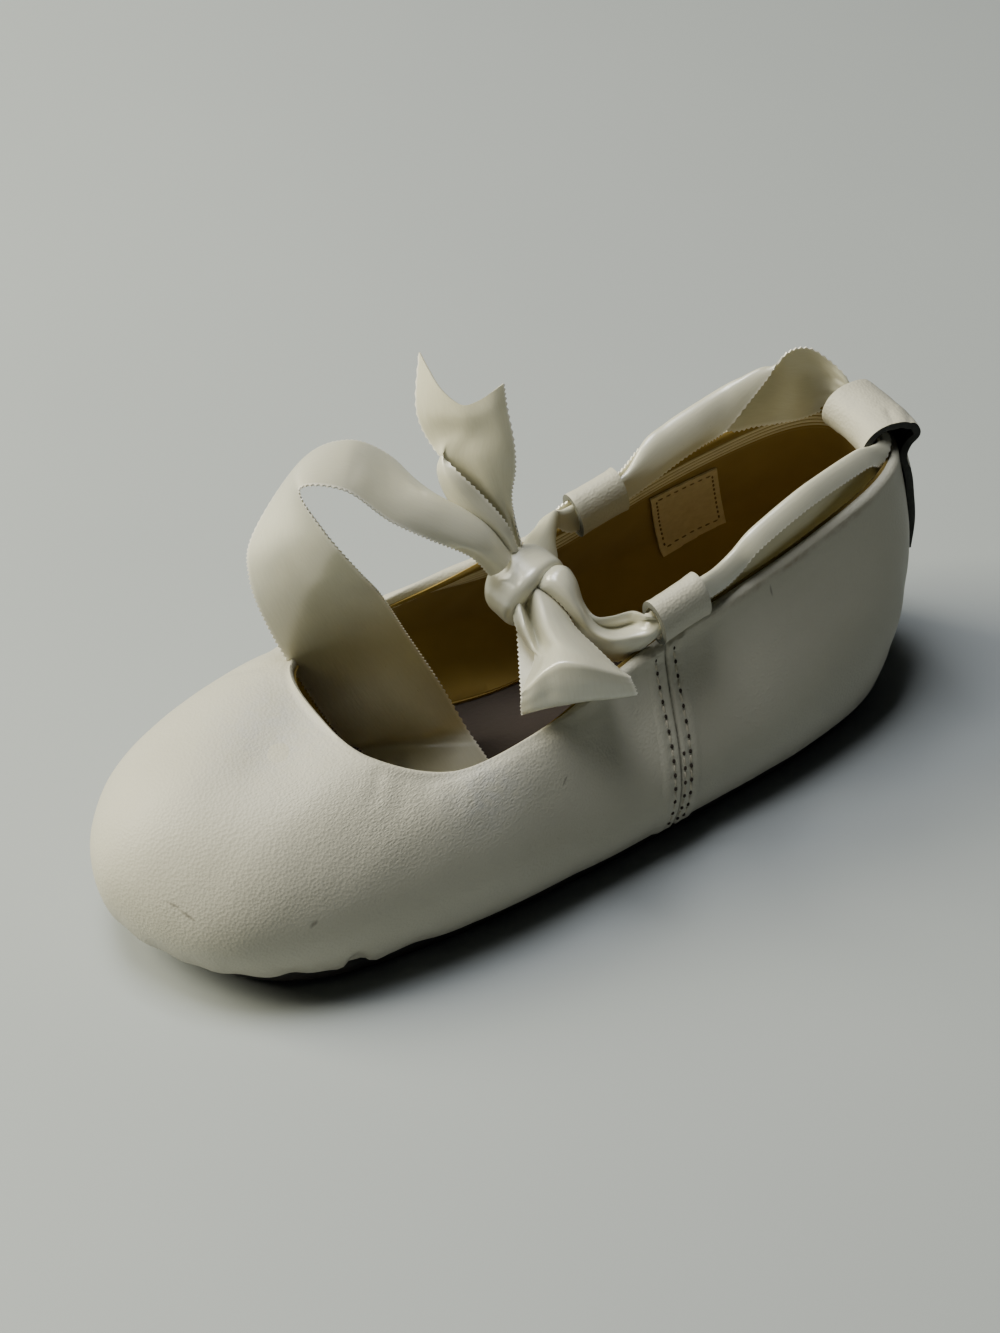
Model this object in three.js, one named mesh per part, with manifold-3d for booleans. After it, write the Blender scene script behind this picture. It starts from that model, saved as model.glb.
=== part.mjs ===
// Baby mary jane shoe, left foot: ivory leather slip-on tied with a satin ribbon.
// Millimetres, +X to the toe, +Y to the wearer's left, +Z up, origin on the floor under the middle.

import * as THREE from "three";
import Module from "manifold-3d";
import { mergeVertices } from "three/addons/utils/BufferGeometryUtils.js";

const wasm = await Module();
wasm.setup();

// Driving dimensions of the last
const LENGTH = 132;
const BALL_WIDTH = 50;
const INSTEP_HEIGHT = 28;
const HEEL_HEIGHT = 40;
const TOE_SPRING = 3.8;
const SPRING_START = 0.67 * LENGTH;
const SPRING_END = 0.985 * LENGTH;

// Leather, sole and insole
const WALL = 1.6;
const MARGIN = 8;
const MARGIN_SHARES = [0.25, 0.6, 1];
const RIM_ROUNDING = 0.5;
const RIM_BEND = 0.97;
const SEAM_WIDTH = 6.6;
const SEAM_RAISE = 0.35;
const SOLE = 3;
const SOLE_INSET = 1.2;
const SOLE_TOE_INSET = 3.6;
const SOLE_BEVEL = 0.7;
const INSOLE = 1.8;
const INSOLE_INSET = WALL + 1.2;
const GAP = 0.3;

// Ribbon loops and the ribbon itself
const SIDE_LOOP = { long: 8, tall: 7.6, wide: 5, wall: 0.9 };
const HEEL_STRAP = { aside: 2, halfWidth: 6.5, thick: 1.2, lowest: 0.46 };

// The origin lies under the middle of the shoe, measured from the back of the heel
const MIDDLE = new THREE.Vector3(64.3, 0.4, 0);

const vec = (x, y, z) => new THREE.Vector3(x, y, z);
const table = (columns, rows) =>
  rows.map((row) => Object.fromEntries(columns.map((name, i) => [name, row[i]])));

// Sections of the last, from the toe round the outer side to the heel. Along is in percent of
// the length, out in percent of half the ball width. Belly and brow are the two handles of the
// wall's curve: belly is set off from the foot line along the heading, and up, in percent of the
// heel height, and brow stands at its own place, its height in percent of the heel height. Rise
// goes from 0 at the instep height to 100 at the heel height. The inner side has the same rows
// with its own foot line.
const LAST = table(
  ["heading", "footAlong", "footOuter", "footInner", "bellyOut", "bellyUp",
    "browAlong", "browOut", "browUp", "rimAlong", "rimOut", "rimRise"],
  [
    [0, 98.5, 0, 0, 15.3, 37.0, 91.7, 0, 77.3, 74.4, 0, 5],
    [35, 94.1, 53.6, 51.6, 14.0, 31.0, 85.8, 48.0, 71.0, 73.1, 42.0, 5],
    [62, 84.8, 82.0, 80.0, 12.8, 28.5, 76.1, 74.8, 64.0, 65.4, 66.0, -17],
    [82, 69.4, 93.2, 90.4, 13.0, 27.5, 58.9, 84.4, 62.3, 53.7, 68.0, -3],
    [90, 53.0, 94.4, 77.6, 12.0, 27.5, 46.2, 74.8, 53.5, 45.5, 64.4, 9],
    [94, 40.2, 90.4, 72.0, 11.3, 27.8, 38.5, 64.8, 52.0, 38.7, 59.2, 22],
    [120, 18.8, 80.0, 74.4, 9.5, 32.8, 17.7, 66.0, 61.8, 18.9, 54.8, 73],
    [150, 6.0, 55.6, 54.4, 9.5, 35.0, 3.2, 48.8, 68.0, 5.9, 39.6, 102],
    [180, 1.8, 0, 0, 10.8, 35.3, -1.8, 0, 68.8, 1.6, 0, 103],
  ],
);
const HEEL_ROW = LAST.length - 1;
const ROUND = 2 * HEEL_ROW;
const SEAM_ROW = 5;

const spring = (x) => {
  const most = 1.2;
  const share = THREE.MathUtils.clamp((x - SPRING_START) / (SPRING_END - SPRING_START), 0, most);
  return TOE_SPRING * share * share;
};

// The four guide points of one row, on the outer side (+1) or the inner side (-1)
function guides(row, side) {
  const across = BALL_WIDTH / 200;
  const along = LENGTH / 100;
  const high = HEEL_HEIGHT / 100;
  const heading = THREE.MathUtils.degToRad(row.heading);
  const out = vec(Math.cos(heading), side * Math.sin(heading), 0);
  const footX = row.footAlong * along;
  const footY = side * (side > 0 ? row.footOuter : row.footInner) * across;
  const foot = vec(footX, footY, SOLE + GAP + spring(footX));
  const rimZ = INSTEP_HEIGHT + (row.rimRise / 100) * (HEEL_HEIGHT - INSTEP_HEIGHT);
  const rim = vec(row.rimAlong * along, side * row.rimOut * across, rimZ);
  const belly = foot.clone().addScaledVector(out, row.bellyOut * high);
  belly.z += row.bellyUp * high;
  const brow = vec(row.browAlong * along, side * row.browOut * across, row.browUp * high);
  return [foot, belly, brow, rim];
}

const outerSide = LAST.map((row) => guides(row, 1));
const innerSide = LAST.slice(1, HEEL_ROW).reverse().map((row) => guides(row, -1));
const guidePoints = [...outerSide, ...innerSide];
const guideLoops = [0, 1, 2, 3].map(
  (i) => new THREE.CatmullRomCurve3(guidePoints.map((points) => points[i]), true, "catmullrom"),
);

// Outside of the upper: u counts table rows round the shoe, v goes from the foot line to the rim
function skin(u, v) {
  const turn = (((u % ROUND) + ROUND) % ROUND) / ROUND;
  const [foot, belly, brow, rim] = guideLoops.map((loop) => loop.getPoint(turn));
  return new THREE.CubicBezierCurve3(foot, belly, brow, rim).getPoint(v);
}

function skinNormal(u, v) {
  const step = 0.01;
  const low = Math.max(0, v - step);
  const high = Math.min(1, v + step);
  const around = skin(u + step, v).sub(skin(u - step, v));
  const upward = skin(u, high).sub(skin(u, low));
  return around.cross(upward).normalize();
}

// Direction out of the foot line, level with the floor
function footOut(u) {
  const step = 0.01;
  const tangent = skin(u + step, 0).sub(skin(u - step, 0));
  return vec(tangent.y, -tangent.x, 0).normalize();
}

// A point of a flat layer under the foot: so far inside the foot line, so high above the sole's top
function layerPoint(u, inset, height) {
  const point = skin(u, 0).addScaledVector(footOut(u), -inset);
  point.z = SOLE + spring(point.x) + height;
  return point;
}

// A closed solid through sections, each a loop with its front half and then its back half reversed.
// A ring joins its last section to its first, and anything else gets two end faces.
function loft(sections, ring = false) {
  const around = sections[0].length;
  const index = [];
  const joins = ring ? sections.length : sections.length - 1;
  for (let i = 0; i < joins; i += 1) {
    const next = (i + 1) % sections.length;
    for (let j = 0; j < around; j += 1) {
      const k = (j + 1) % around;
      const [a, b, c, d] = [i * around + j, next * around + j, next * around + k, i * around + k];
      index.push(a, b, c, a, c, d);
    }
  }
  if (!ring) {
    const last = (sections.length - 1) * around;
    for (let j = 0; j < around / 2 - 1; j += 1) {
      const [a, b, c, d] = [j, j + 1, around - 2 - j, around - 1 - j];
      index.push(a, b, c, a, c, d);
      index.push(last + c, last + b, last + a, last + d, last + c, last + a);
    }
  }
  const positions = sections.flat().flatMap((point) => point.toArray());
  const geometry = new THREE.BufferGeometry();
  geometry.setAttribute("position", new THREE.Float32BufferAttribute(positions, 3));
  geometry.setIndex(facesOut(positions, index) ? index : index.reverse());
  return geometry;
}

function facesOut(positions, index) {
  const corner = (i) => vec(...positions.slice(3 * i, 3 * i + 3));
  let volume = 0;
  for (let i = 0; i < index.length; i += 3) {
    volume += corner(index[i]).dot(corner(index[i + 1]).cross(corner(index[i + 2])));
  }
  return volume > 0;
}

// Joining and cutting
function solid(geometry) {
  const bare = geometry.clone();
  bare.deleteAttribute("normal");
  bare.deleteAttribute("uv");
  const merged = mergeVertices(bare, 1e-4);
  return new wasm.Manifold(new wasm.Mesh({
    numProp: 3,
    vertProperties: new Float32Array(merged.attributes.position.array),
    triVerts: new Uint32Array(merged.index.array),
  }));
}

function fromSolid(body) {
  const mesh = body.getMesh();
  const geometry = new THREE.BufferGeometry();
  geometry.setAttribute("position", new THREE.Float32BufferAttribute(mesh.vertProperties, 3));
  geometry.setIndex(Array.from(mesh.triVerts));
  return geometry;
}

// Upper: one wall of leather with a raised seam on each side and its edge turned in under the foot
const OUTER_STEPS = [0, 0.04, 0.1, 0.19, 0.3, 0.42, 0.55, 0.67, 0.78, 0.87, 0.94, 1];
const INNER_STEPS = [1, 0.93, 0.82, 0.68, 0.52, 0.36, 0.2, 0.09, 0.03];
const COLUMNS_PER_ROW = 5;

// A column of the wall is a row number, with a distance from it in millimetres beside a seam
function columnRow(column, v) {
  const step = 0.05;
  const speed = skin(column.row + step, v).distanceTo(skin(column.row - step, v)) / (2 * step);
  return column.row + column.beside / speed;
}

function upperSection(column) {
  const raise = column.onSeam ? SEAM_RAISE : 0;
  const at = (v) => [columnRow(column, v), v];
  const outside = OUTER_STEPS.map((v) => skin(...at(v)).addScaledVector(skinNormal(...at(v)), raise));
  const inside = INNER_STEPS.map((v) => skin(...at(v)).addScaledVector(skinNormal(...at(v)), -WALL));
  const rimRun = skin(...at(1)).sub(skin(...at(RIM_BEND))).normalize();
  const rimTop = skin(...at(1)).lerp(inside[0], 0.5).addScaledVector(rimRun, RIM_ROUNDING);
  const foot = columnRow(column, 0);
  const margin = (height) => MARGIN_SHARES.map((share) => layerPoint(foot, share * MARGIN, height));
  return [...outside, rimTop, ...inside, ...margin(GAP + WALL), ...margin(GAP).reverse()];
}

function upperColumns() {
  const seams = [SEAM_ROW, ROUND - SEAM_ROW];
  const nearSeam = 0.45;
  const columns = [];
  for (let i = 0; i < ROUND * COLUMNS_PER_ROW; i += 1) {
    const row = i / COLUMNS_PER_ROW;
    const clear = seams.every((seam) => Math.abs(row - seam) > nearSeam);
    if (clear) columns.push({ row, beside: 0, onSeam: false });
  }
  const half = SEAM_WIDTH / 2;
  const edge = 0.15;
  for (const row of seams) {
    for (const beside of [-half - edge, -half + edge, 0, half - edge, half + edge]) {
      columns.push({ row, beside, onSeam: Math.abs(beside) < half });
    }
  }
  const rowsPerMillimetre = 0.01;
  const order = (column) => column.row + rowsPerMillimetre * column.beside;
  return columns.sort((a, b) => order(a) - order(b));
}

function upperGeometry() {
  return loft(upperColumns().map(upperSection), true);
}

// Flat layers: sections across the foot from the toe to the heel
const LAYER_STEPS = 44;

function layerStations() {
  const tip = 0.06;
  const stations = [];
  for (let i = 0; i <= LAYER_STEPS; i += 1) {
    stations.push(tip + (i / LAYER_STEPS) * (HEEL_ROW - 2 * tip));
  }
  return stations;
}

// The sole lies further in at the toe: fully up to the first of these rows, no longer past the second
const TOE_ROWS = [0.5, 2.4];

const soleInset = (u) => {
  const toward = THREE.MathUtils.smoothstep(Math.abs(u), ...TOE_ROWS);
  return THREE.MathUtils.lerp(SOLE_TOE_INSET, SOLE_INSET, toward);
};

function outsoleGeometry() {
  return loft(layerStations().map((u) => {
    const inset = soleInset(u);
    return [
      layerPoint(u, inset + SOLE_BEVEL, -SOLE),
      layerPoint(-u, inset + SOLE_BEVEL, -SOLE),
      layerPoint(-u, inset, SOLE_BEVEL - SOLE),
      layerPoint(-u, inset, 0),
      layerPoint(u, inset, 0),
      layerPoint(u, inset, SOLE_BEVEL - SOLE),
    ];
  }));
}

function insoleGeometry() {
  const low = GAP + WALL + GAP;
  return loft(layerStations().map((u) => [
    layerPoint(u, INSOLE_INSET, low),
    layerPoint(-u, INSOLE_INSET, low),
    layerPoint(-u, INSOLE_INSET, low + INSOLE),
    layerPoint(u, INSOLE_INSET, low + INSOLE),
  ]));
}

// Side loop: a short oval sleeve of leather standing on the topline beside the seam
function ovalPath(Kind, halfWide, halfTall) {
  const path = new Kind();
  path.absellipse(0, 0, halfWide, halfTall, 0, 2 * Math.PI, false);
  return path;
}

function sideLoopGeometry() {
  const { long, tall, wide, wall } = SIDE_LOOP;
  const ring = ovalPath(THREE.Shape, wide / 2, tall / 2);
  ring.holes.push(ovalPath(THREE.Path, wide / 2 - wall, tall / 2 - wall));
  const sleeve = new THREE.ExtrudeGeometry(ring, { depth: long, bevelEnabled: false, curveSegments: 10 });
  return sleeve.translate(0, 0, -long / 2);
}

// Place and turn of a side loop: its length along the rim, so far inside the rim and so high above it
function placeSideLoop(mesh, { row, inside, lift }) {
  const step = 0.05;
  const along = skin(row - step, 1).sub(skin(row + step, 1)).normalize();
  const across = vec(0, 0, 1).cross(along).normalize();
  const high = along.clone().cross(across);
  const turn = new THREE.Matrix4().makeBasis(across, high, along);
  const inward = skinNormal(row, 1).setZ(0).normalize().multiplyScalar(-inside);
  mesh.quaternion.setFromRotationMatrix(turn);
  mesh.position.copy(skin(row, 1)).add(inward).addScaledVector(high, lift);
  return mesh;
}

const LEFT_LOOP = {
  row: SEAM_ROW + 0.16,
  inside: WALL / 2,
  lift: SIDE_LOOP.tall / 2 + RIM_ROUNDING + GAP,
};
const RIGHT_LOOP = { row: ROUND - SEAM_ROW - 0.3, inside: 3.5, lift: 3.4 };

// Heel strap: up the back of the heel, over the rim as a tunnel for the ribbon, down inside.
// Tunnel points are set from the rim: in towards the toe, and up. Follow says how much a point
// keeps to the round of the rim across the strap.
const TUNNEL = table(
  ["inward", "up", "follow"],
  [
    [-1.0, 1.5, 1],
    [-0.6, 4.0, 1],
    [1.6, 5.9, 0.8],
    [4.4, 5.6, 0.6],
    [6.2, 3.6, 0.5],
    [6.0, 1.0, 0.5],
    [4.6, -0.8, 0.75],
    [3.0, -2.6, 1],
  ],
);

// The row at the heel where the skin stands so far to the side, found by halving
function heelRow(y, v) {
  const halvings = 30;
  let [low, high] = [HEEL_ROW - 1, HEEL_ROW + 1];
  for (let i = 0; i < halvings; i += 1) {
    const middle = (low + high) / 2;
    if (skin(middle, v).y > y) low = middle;
    else high = middle;
  }
  return (low + high) / 2;
}

function heelStrapLine(y) {
  const points = [];
  const clearance = 1.5 * GAP;
  const middle = clearance + HEEL_STRAP.thick / 2;
  const steps = 6;
  for (let i = 0; i < steps; i += 1) {
    const v = THREE.MathUtils.lerp(HEEL_STRAP.lowest, RIM_BEND, i / (steps - 1));
    const u = heelRow(y, v);
    points.push(skin(u, v).addScaledVector(skinNormal(u, v), middle));
  }
  const rim = skin(heelRow(y, 1), 1);
  const rimX = (share) => THREE.MathUtils.lerp(skin(HEEL_ROW, 1).x, rim.x, share);
  for (const { inward, up, follow } of TUNNEL) {
    points.push(vec(rimX(follow) + inward, y, rim.z + up));
  }
  return new THREE.CatmullRomCurve3(points);
}

function heelStrapGeometry() {
  const shares = [-1, -0.5, 0, 0.5, 1];
  const lines = shares.map((share) => heelStrapLine(HEEL_STRAP.aside + share * HEEL_STRAP.halfWidth));
  const steps = 34;
  const sections = [];
  for (let i = 0; i <= steps; i += 1) {
    const faces = [1, -1].map((face) => lines.map((line) => {
      const tangent = line.getTangent(i / steps);
      const normal = tangent.cross(vec(0, 1, 0)).normalize();
      return line.getPoint(i / steps).addScaledVector(normal, (face * HEEL_STRAP.thick) / 2);
    }));
    sections.push([...faces[0], ...faces[1].reverse()]);
  }
  return loft(sections);
}

// Ribbon: each row has a point of its middle line, half its width as a direction, and its thickness
const RIBBON_COLUMNS = ["x", "y", "z", "wx", "wy", "wz", "thick"];
const KNOT = vec(65.8, -1.0, 38.6);
const KNOT_HALF = vec(4.6, 4.4, 5.2);
const TAIL_NOTCH = 0.2;

const TIE_LEFT = table(RIBBON_COLUMNS, [
  [64.4, 1.6, 37.4, 1.2, 0.0, 2.6, 2.0],
  [61.2, 5.0, 35.4, 1.4, 0.6, 3.2, 1.8],
  [58.6, 8.2, 33.6, 1.2, 0.6, 3.7, 1.8],
  [56.2, 11.4, 33.0, 0.8, 0.4, 3.2, 1.8],
  [53.2, 13.9, 34.5, 0.5, 0.0, 2.0, 1.4],
  [48.8, 13.9, 35.8, 0.5, 0.0, 2.0, 1.4],
  [44.3, 13.7, 36.8, 0.5, 0.0, 2.0, 1.4],
  [38.0, 12.4, 39.3, 0.4, 0.0, 3.5, 1.6],
  [31.5, 11.5, 40.4, 0.4, 0.0, 4.4, 1.6],
  [25.5, 10.7, 41.2, 0.4, 0.0, 4.6, 1.6],
  [19.0, 9.8, 41.9, 0.4, 0.0, 4.2, 1.6],
  [13.6, 9.6, 42.6, 0.4, 0.0, 2.8, 1.4],
  [10.6, 9.9, 43.2, 0.2, 0.0, 1.9, 1.4],
  [8.3, 9.3, 43.5, 0.1, 0.0, 1.6, 1.4],
  [6.5, 7.4, 43.5, 0.0, 0.0, 1.5, 1.4],
  [5.2, 4.9, 43.4, 0.0, 0.0, 1.5, 1.6],
  [4.8, 2.4, 43.4, 0.0, 0.0, 1.5, 1.6],
]);

const TIE_RIGHT = table(RIBBON_COLUMNS, [
  [64.4, -2.0, 39.4, 1.0, 0.0, 2.8, 2.0],
  [60.5, -5.5, 40.0, 1.4, 0.0, 3.0, 1.8],
  [55.3, -8.8, 37.6, 0.8, 0.0, 2.8, 1.8],
  [50.4, -11.2, 34.6, 0.5, 0.0, 2.0, 1.4],
  [45.0, -11.2, 35.4, 0.5, 0.0, 2.0, 1.4],
  [40.3, -11.1, 36.6, 0.5, 0.0, 2.0, 1.4],
  [35.6, -11.4, 39.2, 0.5, -0.4, 3.0, 1.4],
  [30.0, -11.6, 41.4, 0.6, -0.8, 3.8, 1.4],
  [23.4, -11.3, 43.2, 0.8, -1.2, 4.6, 1.4],
  [15.7, -11.0, 45.0, 1.4, -1.6, 4.8, 1.4],
  [10.4, -10.4, 45.6, 1.4, -1.0, 3.8, 1.4],
  [7.2, -8.0, 44.2, 0.4, 0.0, 2.2, 1.4],
  [5.4, -5.2, 43.4, 0.0, 0.0, 1.7, 1.6],
  [4.8, -1.6, 43.4, 0.0, 0.0, 1.7, 1.8],
  [4.8, 1.8, 43.4, 0.0, 0.0, 1.7, 1.8],
]);

const LONG_END = table(RIBBON_COLUMNS, [
  [67.0, -2.4, 41.0, 1.0, 2.0, 0.2, 1.2],
  [69.8, -4.2, 45.2, 1.7, 3.2, 0.3, 0.9],
  [75.3, -7.0, 49.6, 2.9, 5.2, 0.5, 0.8],
  [80.6, -9.8, 54.3, 4.0, 6.6, 0.8, 0.8],
  [86.1, -12.0, 58.9, 4.1, 6.6, 2.0, 0.8],
  [92.1, -14.0, 58.2, 3.7, 6.2, 3.4, 0.8],
  [95.1, -12.0, 50.6, -1.7, 6.7, 4.0, 0.8],
  [93.6, -10.8, 43.6, -5.2, 5.6, 2.2, 0.8],
  [90.0, -10.0, 35.8, -6.8, 4.1, 0.2, 0.8],
  [84.9, -8.5, 25.0, -6.8, 4.2, 0.0, 0.8],
  [80.0, -7.2, 14.0, -6.8, 4.2, 0.0, 0.8],
  [76.4, -5.8, 8.0, -6.8, 4.2, 0.0, 0.8],
]);

const TAIL = table(RIBBON_COLUMNS, [
  [65.0, -2.8, 41.6, 1.8, -0.6, 0.3, 1.0],
  [65.7, -5.1, 46.0, 2.4, -0.8, 0.8, 0.8],
  [67.6, -6.8, 50.4, 4.2, -1.2, 1.6, 0.8],
  [68.2, -8.4, 56.6, 5.2, -2.0, 1.2, 0.8],
  [68.5, -9.8, 62.0, 5.0, -2.5, 2.2, 0.8],
  [68.6, -11.2, 68.0, 4.9, -2.7, 2.6, 0.8],
]);

const SMALL_LOOP = table(RIBBON_COLUMNS, [
  [65.6, 1.0, 40.4, -2.4, 0.8, 0.0, 1.0],
  [67.0, 8.0, 41.2, -4.4, 1.4, 0.0, 0.8],
  [68.6, 15.6, 39.2, -6.4, 2.2, 0.0, 0.8],
  [69.4, 20.0, 36.0, -7.2, 2.7, 0.0, 0.8],
  [69.0, 18.6, 32.8, -7.2, 2.7, 0.0, 0.8],
  [68.6, 11.6, 32.2, -4.6, 1.6, 0.0, 0.8],
  [67.8, 5.6, 33.8, -2.6, 1.0, 0.0, 0.8],
  [65.8, 1.0, 36.4, -2.2, 0.8, 0.0, 1.0],
]);

const RIBBON_SHARES = [-1, -0.7, 0, 0.7, 1];
const RIBBON_SWELL = [0.4, 1, 1, 1, 0.4];
const RIBBON_STEPS_PER_ROW = 3;

// A notch shortens the middle of the ribbon's far end by that share of its length, as a V cut
function ribbonGeometry(rows, notch) {
  const middleLine = new THREE.CatmullRomCurve3(rows.map((row) => vec(row.x, row.y, row.z)));
  const halfWidths = new THREE.CatmullRomCurve3(rows.map((row) => vec(row.wx, row.wy, row.wz)));
  const thickness = new THREE.CatmullRomCurve3(rows.map((row) => vec(row.thick, 0, 0)));
  const point = (at, face, j) => {
    const share = RIBBON_SHARES[j];
    const reach = at * (1 - notch * (1 - Math.abs(share)));
    const wide = halfWidths.getPoint(reach);
    const normal = middleLine.getTangent(reach).cross(wide).normalize();
    const half = (thickness.getPoint(reach).x / 2) * RIBBON_SWELL[j];
    return middleLine.getPoint(reach).addScaledVector(wide, share).addScaledVector(normal, face * half);
  };
  const steps = (rows.length - 1) * RIBBON_STEPS_PER_ROW;
  const sections = [];
  for (let i = 0; i <= steps; i += 1) {
    const faces = [1, -1].map((face) => RIBBON_SHARES.map((_, j) => point(i / steps, face, j)));
    sections.push([...faces[0], ...faces[1].reverse()]);
  }
  return loft(sections);
}

// The knot: a turn of ribbon pulled tight, a rounded barrel with a slight waist
const KNOT_SECTIONS = table(
  ["along", "size"],
  [[-1, 0.5], [-0.8, 0.82], [-0.4, 1], [0, 0.94], [0.4, 1], [0.8, 0.82], [1, 0.5]],
);

function knotGeometry(clearance = 0) {
  const corners = 16;
  const squareness = 0.8;
  const bulge = (share) => Math.sign(share) * Math.abs(share) ** squareness;
  return loft(KNOT_SECTIONS.map(({ along, size }) => Array.from({ length: corners }, (_, j) => {
    const angle = ((j + 0.5) / corners) * 2 * Math.PI;
    return vec(
      KNOT.x + bulge(Math.cos(angle)) * (KNOT_HALF.x * size + clearance),
      KNOT.y + along * (KNOT_HALF.y + clearance),
      KNOT.z + bulge(Math.sin(angle)) * (KNOT_HALF.z * size + clearance),
    );
  })));
}

const knotRoom = solid(knotGeometry(GAP));

function tiedRibbon(rows, notch = 0) {
  return fromSolid(solid(ribbonGeometry(rows, notch)).subtract(knotRoom));
}

// Materials
const finish = (colour, roughness) =>
  new THREE.MeshStandardMaterial({ color: colour, roughness, metalness: 0 });
const leather = finish("#e9e4d6", 0.5);
const soleLeather = finish("#241f1b", 0.8);
const insoleSuede = finish("#8d7d74", 0.9);
const satin = finish("#f1ead6", 0.35);

// The shoe
const shoe = new THREE.Group();
shoe.position.copy(MIDDLE).negate();

function add(name, geometry, material) {
  const mesh = new THREE.Mesh(geometry, material);
  mesh.name = name;
  shoe.add(mesh);
  return mesh;
}

add("outsole", outsoleGeometry(), soleLeather);
add("upper", upperGeometry(), leather);
add("insole", insoleGeometry(), insoleSuede);
placeSideLoop(add("side_loop_left", sideLoopGeometry(), leather), LEFT_LOOP);
placeSideLoop(add("side_loop_right", sideLoopGeometry(), leather), RIGHT_LOOP);
add("heel_strap", heelStrapGeometry(), leather);
add("ribbon_tie_left", tiedRibbon(TIE_LEFT), satin);
add("ribbon_tie_right", tiedRibbon(TIE_RIGHT), satin);
add("ribbon_knot", knotGeometry(), satin);
add("ribbon_long_end", tiedRibbon(LONG_END), satin);
add("ribbon_tail", tiedRibbon(TAIL, TAIL_NOTCH), satin);
add("ribbon_small_loop", tiedRibbon(SMALL_LOOP), satin);

const part = new THREE.Group();
part.add(shoe);

export default part;
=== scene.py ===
import math

import bpy
import numpy as np
from mathutils import Matrix, Vector, noise
from mathutils.bvhtree import BVHTree


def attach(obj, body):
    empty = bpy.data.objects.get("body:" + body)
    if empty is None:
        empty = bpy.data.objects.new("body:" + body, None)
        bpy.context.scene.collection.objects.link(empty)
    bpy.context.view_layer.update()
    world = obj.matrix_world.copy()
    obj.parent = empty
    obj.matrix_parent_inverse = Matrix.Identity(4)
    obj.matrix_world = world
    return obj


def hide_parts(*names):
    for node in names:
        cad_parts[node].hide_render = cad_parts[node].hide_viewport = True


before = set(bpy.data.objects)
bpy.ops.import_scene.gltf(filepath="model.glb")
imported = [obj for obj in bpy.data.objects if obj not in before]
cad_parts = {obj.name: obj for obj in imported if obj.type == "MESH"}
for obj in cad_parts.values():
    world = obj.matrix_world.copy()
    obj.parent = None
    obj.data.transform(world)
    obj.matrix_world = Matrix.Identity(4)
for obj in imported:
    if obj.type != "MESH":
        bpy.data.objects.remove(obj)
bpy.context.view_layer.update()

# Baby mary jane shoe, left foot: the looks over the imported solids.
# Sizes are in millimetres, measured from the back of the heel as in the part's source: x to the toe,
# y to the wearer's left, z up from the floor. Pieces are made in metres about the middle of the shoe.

MM = 0.001
MIDDLE = np.array([64.3, 0.4, 0.0])

# Driving dimensions, as in the part's source
LENGTH = 132
BALL_WIDTH = 50
INSTEP_HEIGHT = 28
HEEL_HEIGHT = 40
TOE_SPRING = 3.8
SPRING_START = 0.67 * LENGTH
SPRING_END = 0.985 * LENGTH
SPRING_MOST = 1.2
WALL = 1.6
SOLE = 3
INSOLE = 1.8
GAP = 0.3
INSOLE_TOP = SOLE + GAP + WALL + GAP + INSOLE

# The last's rows from toe to heel. Columns: heading in degrees, then percentages: foot along, outer and
# inner, belly out and up, brow along, out and up, rim along, out and rise
LAST = np.array([
    [0, 98.5, 0, 0, 15.3, 37.0, 91.7, 0, 77.3, 74.4, 0, 5],
    [35, 94.1, 53.6, 51.6, 14.0, 31.0, 85.8, 48.0, 71.0, 73.1, 42.0, 5],
    [62, 84.8, 82.0, 80.0, 12.8, 28.5, 76.1, 74.8, 64.0, 65.4, 66.0, -17],
    [82, 69.4, 93.2, 90.4, 13.0, 27.5, 58.9, 84.4, 62.3, 53.7, 68.0, -3],
    [90, 53.0, 94.4, 77.6, 12.0, 27.5, 46.2, 74.8, 53.5, 45.5, 64.4, 9],
    [94, 40.2, 90.4, 72.0, 11.3, 27.8, 38.5, 64.8, 52.0, 38.7, 59.2, 22],
    [120, 18.8, 80.0, 74.4, 9.5, 32.8, 17.7, 66.0, 61.8, 18.9, 54.8, 73],
    [150, 6.0, 55.6, 54.4, 9.5, 35.0, 3.2, 48.8, 68.0, 5.9, 39.6, 102],
    [180, 1.8, 0, 0, 10.8, 35.3, -1.8, 0, 68.8, 1.6, 0, 103],
])
HEEL_ROW = len(LAST) - 1
ROUND = 2 * HEEL_ROW
SEAM_ROW = 5


def spring(x):
    share = np.clip((x - SPRING_START) / (SPRING_END - SPRING_START), 0, SPRING_MOST)
    return TOE_SPRING * share ** 2


def guide_loops():
    """The four closed guide lines of the upper's wall: foot, belly, brow and rim."""
    along, across, high = LENGTH / 100, BALL_WIDTH / 200, HEEL_HEIGHT / 100
    loops = [[], [], [], []]
    outer_side = [(row, 1) for row in LAST]
    inner_side = [(row, -1) for row in LAST[1:HEEL_ROW][::-1]]
    for row, side in outer_side + inner_side:
        (degrees, foot_x, outer, inner, belly_out, belly_up,
         brow_x, brow_y, brow_z, rim_x, rim_y, rise) = row
        heading = math.radians(degrees)
        out = np.array([math.cos(heading), side * math.sin(heading), 0])
        foot_y = side * (outer if side > 0 else inner) * across
        foot = np.array([foot_x * along, foot_y, SOLE + GAP + spring(foot_x * along)])
        belly = foot + out * belly_out * high + np.array([0, 0, belly_up * high])
        brow = np.array([brow_x * along, side * brow_y * across, brow_z * high])
        rim_z = INSTEP_HEIGHT + rise / 100 * (HEEL_HEIGHT - INSTEP_HEIGHT)
        rim = np.array([rim_x * along, side * rim_y * across, rim_z])
        for loop, point in zip(loops, (foot, belly, brow, rim)):
            loop.append(point)
    return [np.array(loop) for loop in loops]


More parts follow.
